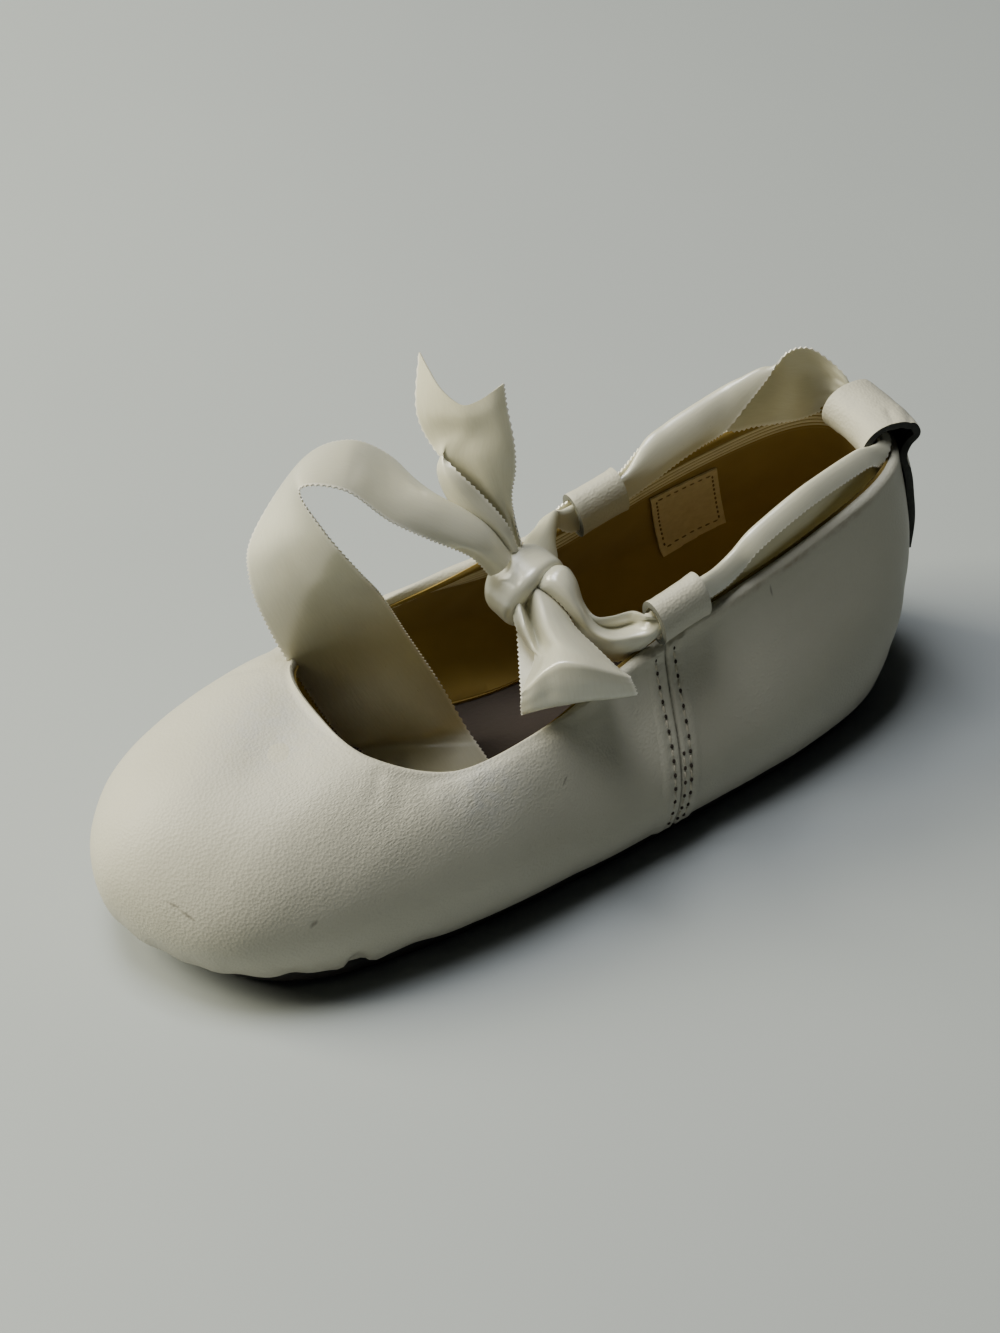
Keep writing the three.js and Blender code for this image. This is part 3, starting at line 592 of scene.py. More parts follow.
TIE_RIGHT_START = [
    [(1.4, 1.8, -0.2), (1.7, 2.0, 0.0), (2.1, 2.2, 0.1), (2.4, 2.4, 0.1), (2.8, 2.6, 0.0),
     (3.0, 2.7, -0.3), (3.0, 2.9, -0.7), (2.8, 3.1, -1.1), (2.4, 3.1, -1.5)],
    [(1.2, 4.3, -2.2), (1.7, 4.5, -1.6), (2.4, 4.3, -1.1), (3.3, 4.0, -0.9), (4.2, 3.4, -1.0),
     (4.9, 2.7, -1.4), (5.6, 1.8, -2.2), (5.5, 2.4, -3.2), (4.9, 3.1, -4.0)],
    [(2.8, 6.3, -6.2), (3.3, 6.7, -5.5), (3.9, 6.7, -5.0), (4.4, 6.5, -4.8), (4.9, 6.1, -5.0),
     (5.3, 5.4, -5.6), (5.5, 4.5, -6.4), (5.3, 5.1, -7.4), (4.8, 5.6, -8.2)],
    [(4.2, 7.6, -11.0), (4.6, 8.1, -10.2), (4.9, 8.4, -9.8), (5.3, 8.6, -9.6), (5.6, 8.4, -9.7),
     (5.8, 7.7, -10.2), (5.8, 6.7, -10.9), (5.8, 6.5, -11.8), (5.5, 7.0, -12.4)],
]

# Sections across the ribbon, as steps up it and out of it. A fold starts with the front flap's selvedge.
CHARTS = {
    "flat": [(-8, -0.3), (-6, 0.0), (-4, 0.2), (-2, 0.3), (0, 0.3), (2, 0.3), (4, 0.2), (6, 0.0), (8, -0.3)],
    "arch": [(-5.6, -1.5), (-4.5, -0.5), (-3.1, 0.2), (-1.6, 0.7), (0, 0.9), (1.6, 0.7), (3.1, 0.2),
             (4.5, -0.5), (5.6, -1.5)],
    "mid_arch": [(-3.4, -2.2), (-3.8, -1.0), (-3.0, 0.1), (-1.6, 0.8), (0, 1.0), (1.6, 0.8), (3.0, 0.1),
                 (3.8, -1.0), (3.4, -2.2)],
    "tight_arch": [(-1.9, -2.4), (-2.4, -1.1), (-2.1, 0.1), (-1.2, 0.9), (0, 1.2), (1.2, 0.9), (2.1, 0.1),
                   (2.4, -1.1), (1.9, -2.4)],
    "tucked": [(-2.1, 0.9), (-0.2, 1.0), (1.7, 0.9), (2.3, 0.5), (1.6, 0.1), (-1.5, -0.1), (-2.2, -0.4),
               (-1.0, -0.8), (1.8, -0.9)],
    "pleat": [(-2.5, 0.2), (-1.5, 0.8), (-0.6, 1.1), (0.2, 1.2), (0.8, 0.4), (1.2, -0.6), (1.8, 0.2),
              (2.3, 0.3), (1.8, -0.8)],
    "fold_in": [(-0.8, 1.0), (0.3, 1.05), (1.3, 0.9), (2.1, 0.5), (2.3, 0.0), (1.7, -0.5), (-2.1, -0.6),
                (-2.3, -0.9), (1.6, -1.1)],
    "fold_out": [(-0.5, 1.3), (0.5, 1.2), (1.3, 0.95), (2.1, 0.5), (2.4, 0.0), (1.7, -0.5), (-1.2, -0.4),
                 (-3.6, -0.4), (-5.8, -1.0)],
    "folded": [(0.5, 1.7), (1.2, 1.4), (1.9, 1.0), (2.5, 0.5), (2.8, -0.1), (2.0, -0.6), (-1.2, 0.0),
               (-4.4, -0.3), (-8.2, -1.5)],
    "fold_mouth": [(1.0, 1.5), (1.3, 1.3), (1.7, 0.95), (2.1, 0.5), (2.3, 0.0), (1.6, -0.4), (-0.9, -0.3),
                   (-2.0, 0.2), (-0.6, 0.8)],
    "close_fold": [(-2.6, 0.9), (-1.0, 1.4), (0.8, 1.4), (2.4, 0.9), (3.2, 0.0), (2.2, -0.7), (-1.6, -0.9),
                   (-1.9, -1.3), (2.0, -1.5)],
    "bundle": [(1.8, 0.9), (1.3, -0.9), (0.9, 0.9), (0.4, -0.9), (0, 0.9), (-0.4, -0.9), (-0.9, 0.9),
               (-1.3, -0.9), (-1.8, 0.9)],
    "wrap": [(-2.2, -3.85), (-3.2, -2.2), (-3.5, -0.3), (-2.4, 0.25), (-0.6, 0.3), (1.2, 0.35),
             (2.8, 0.2), (3.4, -1.2), (2.4, -3.8)],
}

# Routes: a point of the middle line, the direction up the ribbon, and the section there
TIE_LEFT = [
    [(53.2, 13.9, 34.6), (0.24, 0.0, 0.97), "pleat"],
    [(48.8, 13.9, 35.8), (0.24, 0.0, 0.97), "fold_in"],
    [(44.3, 13.5, 36.6), (0.22, -0.1, 0.97), "fold_in"],
    [(40.8, 12.5, 36.2), (0.18, -0.12, 0.98), "fold_out"],
    [(37.6, 11.9, 37.2), (0.12, -0.17, 0.98), "fold_out"],
    [(34.8, 11.6, 38.5), (0.08, -0.2, 0.98), "folded"],
    [(31.2, 11.2, 39.9), (0.08, -0.2, 0.98), "folded"],
    [(27.5, 10.8, 41.1), (0.08, -0.2, 0.98), "folded"],
    [(24.4, 10.4, 41.8), (0.08, -0.2, 0.98), "folded"],
    [(21.2, 9.8, 42.0), (0.08, -0.2, 0.98), "folded"],
    [(18.0, 9.1, 42.0), (0.08, -0.2, 0.98), "folded"],
    [(14.8, 8.4, 41.9), (0.08, -0.2, 0.98), "folded"],
    [(12.1, 7.7, 41.5), (0.08, -0.2, 0.98), "folded"],
    [(9.5, 7.1, 41.1), (0.08, -0.15, 0.98), "fold_out"],
    [(7.7, 6.3, 41.1), (0.05, -0.1, 0.99), "fold_mouth"],
    [(6.6, 4.4, 41.7), (0.0, 0.0, 1.0), "fold_mouth"],
    [(6.2, 1.6, 42.1), (0.0, 0.0, 1.0), "fold_in"],
]
TIE_RIGHT = [
    [(50.4, -11.2, 34.6), (0.24, 0.0, 0.97), "tucked"],
    [(45.0, -11.2, 35.4), (0.24, 0.0, 0.97), "tucked"],
    [(40.3, -11.1, 36.6), (0.24, 0.0, 0.97), "tucked"],
    [(35.6, -11.4, 38.9), (0.16, -0.30, 0.94), "close_fold"],
    [(31.6, -11.6, 40.4), (0.15, -0.40, 0.90), "close_fold"],
    [(27.8, -11.6, 41.6), (0.17, -0.42, 0.90), "close_fold"],
]
TIE_RIGHT_END = [
    [(5.2, -2.4, 42.5), (0.0, 0.0, 1.0), "bundle"],
    [(5.4, 1.4, 42.4), (0.0, 0.0, 1.0), "bundle"],
]
LONG_END = [
    [(67.0, -2.4, 41.0), (0.44, 0.89, 0.09), "tight_arch"],
    [(69.8, -4.2, 45.7), (0.47, 0.88, 0.08), "mid_arch"],
    [(75.3, -7.0, 50.2), (0.49, 0.87, 0.08), "arch"],
    [(80.6, -9.8, 54.3), (0.51, 0.85, 0.10), "flat"],
    [(86.1, -12.0, 58.9), (0.51, 0.82, 0.25), "flat"],
    [(92.1, -14.0, 58.2), (0.46, 0.77, 0.42), "flat"],
    [(95.1, -12.0, 50.6), (-0.21, 0.84, 0.50), "flat"],
    [(93.6, -10.8, 43.6), (-0.65, 0.70, 0.28), "flat"],
    [(90.5, -10.4, 35.8), (-0.88, 0.36, 0.22), "flat"],
    [(86.0, -9.2, 25.0), (-0.90, 0.16, 0.42), "flat"],
    [(81.1, -7.9, 14.2), (-0.90, 0.18, 0.40), "flat"],
    [(78.4, -6.4, 8.9), (-0.93, 0.36, 0.06), "flat"],
    [(78.2, -2.0, 7.9), (-0.94, 0.34, 0.0), "flat"],
    [(78.8, 3.4, 7.7), (-0.95, 0.32, 0.0), "flat"],
    [(80.2, 8.0, 7.7), (-0.95, 0.30, 0.0), "flat"],
]
# Knot: a wrap round the strands, as seen: middle, long and short half widths, and what is left at its ends
WRAP_MIDDLE = np.array([1.4, -1.4, -1.0])
WRAP_LONG = 5.2 * np.array([0.66, 0.75, 0.0])
WRAP_SHORT = 3.9 * np.array([-0.45, 0.40, 0.80])
WRAP_ROWS = 16
WRAP_NARROW = 0.25


def bow_points(table):
    """Points of the bow from where they are seen."""
    seen = np.array(table, float)
    reach = (EYE - KNOT) @ VIEW_BACK
    sight = KNOT - EYE + seen[..., :1] * VIEW_RIGHT + seen[..., 1:2] * VIEW_UP
    return EYE + (1 - seen[..., 2:] / reach) * sight


def route_points(route):
    """Rows across a ribbon that follows a route, each with its section square to the route."""
    middle = np.array([row[0] for row in route], float)
    upward = unit(np.array([row[1] for row in route], float))
    section = np.array([CHARTS[row[2]] for row in route], float)
    out = unit(np.cross(unit(np.gradient(middle, axis=0)), upward))
    return middle[:, None] + upward[:, None] * section[..., :1] + out[:, None] * section[..., 1:]


def wrap_points():
    """Rows across the ribbon that goes round the knot."""
    axis = unit(np.cross(WRAP_LONG, WRAP_SHORT))
    rows = []
    for turn in np.linspace(0, 2 * math.pi, WRAP_ROWS, endpoint=False):
        middle = WRAP_MIDDLE + math.cos(turn) * WRAP_LONG + math.sin(turn) * WRAP_SHORT
        out = unit(math.cos(turn) * WRAP_LONG / (WRAP_LONG @ WRAP_LONG)
                   + math.sin(turn) * WRAP_SHORT / (WRAP_SHORT @ WRAP_SHORT))
        narrow = 1 - WRAP_NARROW * math.cos(turn) ** 2
        rows.append([middle + axis * step * narrow + out * lift for step, lift in CHARTS["wrap"]])
    return bow_points(rows)


def ribbon_points(rows, closed=False):
    """A smooth ribbon through rows of points, and how far along and across it each of its points lies."""
    last = len(rows) if closed else len(rows) - 1
    fine = np.linspace(0, last, FINE_STEPS)
    line = through(rows.mean(1), fine, closed)
    run = np.concatenate([[0], np.cumsum(lengths(np.diff(line, axis=0)))])
    steps = 2 * round(run[-1] / SELVEDGE_PITCH)
    along = np.linspace(0, run[-1], steps + 1)
    lines = through(rows, np.interp(along, run, fine), closed)
    columns = np.linspace(0, rows.shape[1] - 1, ACROSS + 1)
    points = through(lines.swapaxes(0, 1), columns, False).swapaxes(0, 1)
    teeth = SELVEDGE_TOOTH * np.where(np.arange(steps + 1) % 2, 1, -1)[:, None]
    if closed:
        points[-1] = points[0]
    points[:, 0] += teeth * unit(points[:, 0] - points[:, 1])
    points[:, -1] += teeth * unit(points[:, -1] - points[:, -2])
    across = np.linspace(-RIBBON_WIDTH / 2, RIBBON_WIDTH / 2, ACROSS + 1)
    along, across = np.meshgrid(along, across, indexing="ij")
    return points, along, across


def ribbon(name, node, rows, closed=False):
    """A ribbon piece with its glossy face and dull back."""
    points, along, across = ribbon_points(rows, closed)
    piece = wrapped_grid(name, points, along=along, across=across)
    if closed:
        edit(piece, MERGE, FACE_OUT)
    finish_piece(piece, "satin", (SATIN_FACE, SATIN_BACK), node)
    apply_modifier(piece, "SOLIDIFY", thickness=RIBBON_THICKNESS * MM, offset=0.0, material_offset=1)
    smooth(piece, degrees=60)


near_rows = np.concatenate([bow_points(TIE_LEFT_START), route_points(TIE_LEFT)])
far_rows = np.concatenate([bow_points(TIE_RIGHT_START), route_points(TIE_RIGHT),
                           bow_points(TIE_RIGHT_LEAF), route_points(TIE_RIGHT_END)])
ribbon("ribbon_near_strand", "ribbon_tie_left", near_rows)
ribbon("ribbon_far_strand", "ribbon_tie_right", far_rows)
ribbon("ribbon_long_tail", "ribbon_long_end", route_points(LONG_END))
ribbon("ribbon_cut_tail", "ribbon_tail", bow_points(TAIL))
ribbon("ribbon_bow_loop", "ribbon_small_loop", bow_points(SMALL_LOOP))
ribbon("ribbon_knot_wrap", "ribbon_knot", wrap_points(), closed=True)

# Upper: the wall's columns round the shoe and its stations from the foot line to the rim and inside
COLUMNS_PER_ROW = 22
NEAR_SEAM_ROWS = 0.5
SEAM_COLUMNS_HALF = 4.4
SEAM_COLUMNS = 41
OUTSIDE = np.concatenate([[0, 0.006, 0.014, 0.024, 0.036, 0.05], np.linspace(0.066, 0.9, 46),
                          np.linspace(0.912, 1, 9)])
INSIDE = np.linspace(0.97, 0.02, 12)
LEATHER_THICK = 1.2
BEAD_RADIUS = 0.9
BEAD_TURNS = np.linspace(0, math.pi, 9)[1:]
BELOW_RIM = 0.97
# Margin turned in under the foot: inset, and height over the gap above the sole
MARGIN = ((3, LEATHER_THICK), (8, LEATHER_THICK), (8, 0), (4, 0), (1.6, 0), (0.7, 0.15))
EDGE_LIFT = 0.5
# The leather is a little uneven: height, size and seed
UNEVEN = ((0.16, 11, 3.0), (0.05, 4, 9.0))
# The rolled topline and the hollow below it: height and distance from the rim
RIM_ROLL = ((0.12, 0.0), (-0.04, 2.4))
RIM_ROLL_HALF = 0.9

# Side seam: a raised band, the butted edges sunk along its middle, and hollows along the stitches
SEAM_HALF = 3.3
SEAM_RAISE = 0.35
SEAM_SOFTNESS = 0.25
BUTT_DEPTH = 0.5
BUTT_HALF = 0.26
STITCH_PITCH = 2.1
STITCH_SINK = 0.14
STITCH_PUCKER = 0.08
STITCH_AWAY = 1.6
STITCH_HALF = 0.6
# Stands for any distance at which the seam no longer shows
FAR_OFF = 99

# Gathers of the lasted edge: row, half width in rows, how far in, how far up
PUCKERS = np.array([
    [0.21, 0.14, 0.10, 0.10],
    [0.67, 0.14, 0.22, 0.22],
    [0.99, 0.12, 0.20, 0.20],
    [1.38, 0.14, 0.14, 0.12],
    [1.88, 0.10, 0.20, 0.22],
    [2.37, 0.06, 0.70, 0.90],
    [2.78, 0.12, 0.15, 0.15],
    [-0.35, 0.14, 0.20, 0.16],
    [-0.80, 0.12, 0.24, 0.22],
    [-1.25, 0.14, 0.16, 0.16],
    [-1.70, 0.10, 0.40, 0.45],
    [-2.20, 0.12, 0.18, 0.20],
])
PUCKER_REACH = 3.2
# Leather bulges beside a gather: share of its depth, and distance in its half widths
BULGE = 0.45
BULGE_AWAY = 2.2

# Soft troughs: one end, other end, half width, height
FOLDS = [
    [(97.0, -4.0, 29.0), (106.0, 3.0, 29.0), 6.0, -0.9],
    [(106.0, 3.0, 29.0), (114.0, 6.0, 27.5), 5.0, -0.4],
    [(96.3, 13.0, 27.8), (98.6, 15.6, 26.2), 0.7, -0.16],
    [(94.0, 15.2, 27.0), (95.6, 17.4, 25.2), 0.8, -0.08],
    [(91.0, 17.0, 26.2), (92.4, 19.2, 24.2), 0.9, -0.07],
    [(87.5, 18.4, 25.6), (88.6, 20.2, 23.4), 0.9, -0.06],
    [(83.5, 19.4, 25.0), (84.4, 21.0, 23.0), 0.9, -0.05],
    [(98.5, -13.0, 27.5), (101.0, -16.5, 25.0), 1.4, -0.25],
    [(92.5, -17.0, 26.0), (94.5, -20.5, 22.5), 1.6, -0.15],
    [(6.0, 13.5, 24.0), (3.0, 12.0, 14.0), 2.0, -0.20],
    [(1.0, 8.0, 12.0), (9.0, 16.5, 10.0), 1.8, -0.15],
]
# Patches that are creased, rubbed at the rim, and given a painted cool shade in the trough and creases:
# middle, half width
WRINKLED = [((96.0, 16.0, 25.5), 9.0), ((86.0, 20.0, 24.0), 9.0), ((104.0, 8.0, 28.0), 8.0)]
RUBBED = [((36.0, 12.9, 35.0), 4.0), ((28.8, 13.5, 36.8), 5.0), ((18.0, 13.0, 37.0), 5.0)]
PAINTED_COOL_SHADE = [((104.0, -1.0, 29.0), 9.0), ((84.0, 19.5, 25.0), 6.0)]
# How strong the wear, dirt and painted shade are and how far they reach
WEAR_AND_SHADE = {"spot_rub": 0.8, "edge_rub": 0.1, "rub_from_rim": 0.3, "rub_half": 0.7, "foot_dirt_and_shade": 0.55,
        "foot_reach": 2.4, "gather_painted_shade": 0.35, "painted_cool_shade": 0.45, "gap_contrast": 8}


def to_segment(points, start, end):
    """How far points are from a straight line between two ends."""
    start, end = np.array(start), np.array(end)
    run = end - start
    share = np.clip((points - start) @ run / (run @ run), 0, 1)
    return lengths(points - start - share[..., None] * run)


def spots(points, places):
    """Soft round patches, each a middle and a half width."""
    masks = [soft(lengths(points - np.array(middle)), half) for middle, half in places]
    return np.max(masks, axis=0)


def wall_columns(fine):
    """Row and millimetres beside it for each column, closer together at the side seams if fine."""
    seams = (SEAM_ROW, ROUND - SEAM_ROW) if fine else ()
    columns = []
    for k in range(ROUND * COLUMNS_PER_ROW):
        row = k / COLUMNS_PER_ROW
        if all(abs(row - seam) > NEAR_SEAM_ROWS for seam in seams):
            columns.append((row, 0.0))
    for seam in seams:
        for beside in np.linspace(-SEAM_COLUMNS_HALF, SEAM_COLUMNS_HALF, SEAM_COLUMNS):
            columns.append((seam, beside))
    columns.sort()
    columns.append((columns[0][0] + ROUND, columns[0][1]))
    return np.array(columns)


def beside_rows(rows, beside, v):
    """Rows moved sideways by millimetres."""
    step = 0.05
    speed = lengths(skin(rows + step, v) - skin(rows - step, v)) / (2 * step)
    return rows + beside / speed


def seam_relief(rows, v):
    """The seam's soft band with the butted edges sunk along its middle."""
    relief = np.zeros_like(rows)
    for seam in (SEAM_ROW, ROUND - SEAM_ROW):
        centre = skin(np.full_like(rows, seam), v)
        away = lengths(skin(rows, v) - centre)
        away = np.where(np.abs(rows - seam) < 1, away, FAR_OFF)
        band = SEAM_RAISE / (1 + np.exp((away - SEAM_HALF) / SEAM_SOFTNESS))
        butt = -BUTT_DEPTH * soft(away, BUTT_HALF)
        down = lengths(centre - skin(np.full_like(rows, seam), 1.0))
        puckered = STITCH_SINK + STITCH_PUCKER * np.cos(2 * math.pi * down / STITCH_PITCH)
        stitched = -puckered * soft(away - STITCH_AWAY, STITCH_HALF)
        relief += band + butt + stitched
    return relief


def pucker_pull(rows, height):
    """How far the gathers pull the lower edge in and up."""
    fade = soft(height, PUCKER_REACH)
    inward, upward = np.zeros_like(rows), np.zeros_like(rows)
    for row, half, depth, lift in PUCKERS:
        away = (rows - row + HEEL_ROW) % ROUND - HEEL_ROW
        notch = soft(away, half) - BULGE * soft(np.abs(away) - BULGE_AWAY * half, half)
        inward += depth * notch * fade
        upward += lift * np.maximum(notch, 0) * fade
    return inward, upward


def round_rim(rows, radius, turns):
    """Points round the rim, at angles that start out of the wall and turn up and over."""
    out = skin_normal(rows, np.ones_like(rows))
    up = unit(skin(rows, 1.0) - skin(rows, BELOW_RIM))
    middle = skin(rows, 1.0) - out * WALL / 2
    return np.stack([middle + radius * (math.cos(turn) * out + math.sin(turn) * up) for turn in turns], 1)


def upper_marks(points, from_rim, height, inward, seams):
    """How far the outside is creased, rubbed, dirty and in painted shade, in painted cool shade, or open,
    each from 0 to 1.
    """
    rim_wear = soft(from_rim - WEAR_AND_SHADE["rub_from_rim"], WEAR_AND_SHADE["rub_half"])
    near_foot_line = soft(height, WEAR_AND_SHADE["foot_reach"])
    return {
        "wrinkle": spots(points, WRINKLED),
        "rub": (WEAR_AND_SHADE["spot_rub"] * spots(points, RUBBED) + WEAR_AND_SHADE["edge_rub"]) * rim_wear,
        # Dirt and painted shade along the foot line, and painted shade in the gathers
        "dirt_and_painted_shade": WEAR_AND_SHADE["foot_dirt_and_shade"] * near_foot_line + WEAR_AND_SHADE["gather_painted_shade"] * np.clip(inward, 0, 1),
        # Painted cool shade in the vamp's trough and in the creases by the throat
        "painted_cool_shade": WEAR_AND_SHADE["painted_cool_shade"] * spots(points, PAINTED_COOL_SHADE),
        "gap": np.clip(-seams * WEAR_AND_SHADE["gap_contrast"], 0, 1),
    }


def upper_piece():
    columns = wall_columns(fine=True)
    outer = len(OUTSIDE)
    rows, v = np.meshgrid(columns[:, 0], np.concatenate([OUTSIDE, INSIDE]), indexing="ij")
    rows = beside_rows(rows, columns[:, 1:], v)
    points = skin(rows, v)
    from_rim = lengths(points - skin(rows, 1.0))
    height = lengths(points - skin(rows, 0.0))
    inward, upward = pucker_pull(rows, height)
    seams = seam_relief(rows, v)
    relief = seams - inward + sum(wobble(points, *bumps) for bumps in UNEVEN)
    for start, end, half, lift in FOLDS:
        relief += lift * soft(to_segment(points, start, end), half)
    for lift, away in RIM_ROLL:
        relief += lift * soft(from_rim - away, RIM_ROLL_HALF)
    relief[:, outer:] = -LEATHER_THICK
    walls = points + skin_normal(rows, v) * relief[..., None]
    walls[:, :outer, 2] += upward[:, :outer]
    walls[:, 0, 2] += EDGE_LIFT
    bead = round_rim(rows[:, outer - 1], BEAD_RADIUS, BEAD_TURNS)
    foot_rows = rows[:, 0]
    margin = [layer_point(foot_rows, np.full_like(foot_rows, inset), GAP + rise) for inset, rise in MARGIN]
    ring = np.concatenate([walls[:, :outer], bead, walls[:, outer:], np.stack(margin, 1), walls[:, :1]], 1)
    beyond = ((0, 0), (0, ring.shape[1] - outer))
    marks = upper_marks(points, from_rim, height, inward, seams)
    marks = {key: np.pad(mask[:, :outer], beyond) for key, mask in marks.items()}
    closed_piece("upper_leather_wall", ring, "upper_leather", LEATHER, "upper", degrees=70, **marks)


upper_piece()

# Lining: starts on the inner half of the rim, stands inside the wall, ribbed at the top, and turns in
# over the edge of the insole
LINING_THICK = 0.4
LINING_DEPTH = 1.75
LINING_DOWN = np.concatenate([np.linspace(0.985, 0.86, 40), np.linspace(0.845, 0.10, 32)])
LINING_UNEVEN = (0.12, 9, 21.0)
RIB_PITCH = 0.85
RIB_HEIGHT = 0.18
RIB_LAST = 3.6
RIB_FADE = 0.25
RIM_TURNS = (1.95, 2.25, 2.55, 2.85)
# The foot comes in furthest at the arch: row, half width in rows, how far
LINING_FOOT = [(ROUND - 4.4, 1.3, 4.2), (4.4, 1.6, 1.4)]
LINING_FOOT_LEAST = WALL + 2.4
LINING_FOOT_LIFT = 0.5
LINING_CURVE = 9


def lining_foot(rows):
    """The edge of the lining on the insole."""
    inset = LINING_FOOT_LEAST + sum(most * soft(rows % ROUND - row, half) for row, half, most in LINING_FOOT)
    return layer_point(rows, inset, INSOLE_TOP - SOLE + LINING_FOOT_LIFT)


def lining_points():
    """The lining's points, and how far each lies on top of a rib, where a highlight is painted."""
    foot_rows = wall_columns(fine=False)[:, 0]
    rows, v = np.meshgrid(foot_rows, LINING_DOWN, indexing="ij")
    points = skin(rows, v)
    from_rim = lengths(points - skin(rows, 1.0))
    ribs = np.cos(2 * math.pi * from_rim / RIB_PITCH) / (1 + np.exp((from_rim - RIB_LAST) / RIB_FADE))
    depth = LINING_DEPTH + RIB_HEIGHT * ribs + wobble(points, *LINING_UNEVEN)
    wall = points - skin_normal(rows, v) * depth[..., None]
    foot = lining_foot(foot_rows)
    pull = np.clip((foot[:, None, 2] + LINING_CURVE - wall[..., 2]) / LINING_CURVE, 0, 1)[..., None] ** 2
    wall[..., :2] = wall[..., :2] * (1 - pull) + foot[:, None, :2] * pull
    over = round_rim(foot_rows, BEAD_RADIUS + LINING_THICK / 2, RIM_TURNS)
    ridges = np.pad(np.clip(ribs, 0, 1), ((0, 0), (len(RIM_TURNS), 1)))
    return np.concatenate([over, wall, foot[:, None]], 1), ridges


def lining_piece():
    points, ridges = lining_points()
    piece = wrapped_grid("lining_cloth", points, ridge=ridges)
    edit(piece, MERGE)
    finish_piece(piece, "lining", (LINING,))
    apply_modifier(piece, "SOLIDIFY", thickness=LINING_THICK * MM, offset=0.0)
    smooth(piece, degrees=60)
    return piece


lining = lining_piece()

# Blank label on the lining: corners from the toe end of its top edge round to the toe end of its foot
LABEL_CORNERS = np.array([[33.3, -14.0, 29.3], [21.7, -13.5, 30.7], [16.2, -16.6, 16.0], [26.8, -18.0, 13.3]])
LABEL_LIFT = 0.35
LABEL_THICK = 0.3
LABEL_COLUMNS = 25
LABEL_ROWS = 31
LABEL_STITCH = 1.4
LABEL_MARGIN = 0.08
# The lining's face is looked for from a little way inside the shoe
LOOKED_FROM = Vector((0, 2 * MM, 0))


def on_lining(points, lift):
    """Points put on the lining's inner face, so far in front of it."""
    tree = BVHTree.FromObject(lining, bpy.context.evaluated_depsgraph_get())
    placed = []
    for point in points.reshape(-1, 3):
        inside = Vector((point - MIDDLE) * MM) + LOOKED_FROM
        spot, normal, _, _ = tree.find_nearest(inside)
        facing = normal if normal.y > 0 else -normal
        placed.append(np.array(spot + facing * lift * MM) / MM + MIDDLE)
    return np.array(placed).reshape(points.shape)


def label_piece():
    across = np.linspace(0, 1, LABEL_COLUMNS)[:, None, None]
    down = np.linspace(0, 1, LABEL_ROWS)[None, :, None]
    a, b, c, d = LABEL_CORNERS
    flat = (a * (1 - across) + b * across) * (1 - down) + (d * (1 - across) + c * across) * down
    piece = wrapped_grid("label_blank", on_lining(flat, LABEL_LIFT))
    finish_piece(piece, "lining", (LABEL,))
    apply_modifier(piece, "SOLIDIFY", thickness=LABEL_THICK * MM, offset=0.0)
    smooth(piece, degrees=60)


label_piece()

# Layers under the foot: rings from a line along the middle out to the edge and back. The line stops short
# of the heel and the toe.
LINE_FROM_HEEL = 18
LINE_FROM_TOE = 20
LAYER_ROWS = np.arange(ROUND * COLUMNS_PER_ROW + 1) / COLUMNS_PER_ROW
SOLE_INSET = 1.2
SOLE_TOE_INSET = 3.6
SOLE_TOE_ROWS = (0.5, 2.4)
# Rings: share of the way out, further inset, height over the layer's foot
OUTSOLE_UNDER = [(share, 0, 0) for share in (0, 0.25, 0.5, 0.75)]
OUTSOLE_GROOVE = [(1, 3.4, 0), (1, 3.1, 0.25), (1, 2.8, 0)]
OUTSOLE_EDGE = [(1, 0.7, 0), (1, 0.25, 0.2), (1, 0, 0.7), (1, -0.1, 1.6), (1, 0, 2.5), (1, 0.3, 2.95)]
OUTSOLE_TOP = [(1, 2, SOLE), (0.6, 0, SOLE), (0, 0, SOLE)]
INSOLE_INSET = WALL + 1.2
INSOLE_FOOT = GAP + WALL + GAP
INSOLE_EDGE = [(0, 0, 0), (0.5, 0, 0), (1, 0.3, 0), (1, 0, 0.3), (1, 0, INSOLE - 0.5),
               (1, 0.2, INSOLE - 0.15), (1, 0.6, INSOLE)]
INSOLE_FACE = [(share, 0.6, INSOLE) for share in (0.92, 0.8, 0.6, 0.4, 0.2, 0)]
INSOLE_UNEVEN = (0.25, 10, 5.0)


def layer_rings(stations, inset, foot):
    """Rings of a flat layer whose edge is inset and whose underside is so high over the sole's top."""
    rings = []
    for share, further, rise in stations:
        edge = layer_point(LAYER_ROWS, np.broadcast_to(inset + further, LAYER_ROWS.shape), foot + rise)
        middle_y = (edge[:, 1] + edge[::-1, 1]) / 2
        lowest, highest = edge[:, 0].min() + LINE_FROM_HEEL, edge[:, 0].max() - LINE_FROM_TOE
        middle_x = np.clip((edge[:, 0] + edge[::-1, 0]) / 2, lowest, highest)
        middle = np.stack([middle_x, middle_y, edge[:, 2]], -1)
        point = middle * (1 - share) + edge * share
        point[:, 2] = SOLE + spring(point[:, 0]) + foot + rise
        rings.append(point)
    return np.stack(rings, 1)


def sole_inset():
    """How far the sole's edge stands in, more at the toe."""
    from_toe = np.minimum(LAYER_ROWS, ROUND - LAYER_ROWS)
    share = np.clip((from_toe - SOLE_TOE_ROWS[0]) / (SOLE_TOE_ROWS[1] - SOLE_TOE_ROWS[0]), 0, 1)
    share = share * share * (3 - 2 * share)
    return SOLE_TOE_INSET + (SOLE_INSET - SOLE_TOE_INSET) * share


def outsole_piece():
    stations = OUTSOLE_UNDER + OUTSOLE_GROOVE + OUTSOLE_EDGE + OUTSOLE_TOP
    points = layer_rings(stations, sole_inset(), -SOLE)
    closed_piece("outsole_leather", points, "sole", SOLE_LEATHER_AND_SHADE, "outsole", degrees=40)


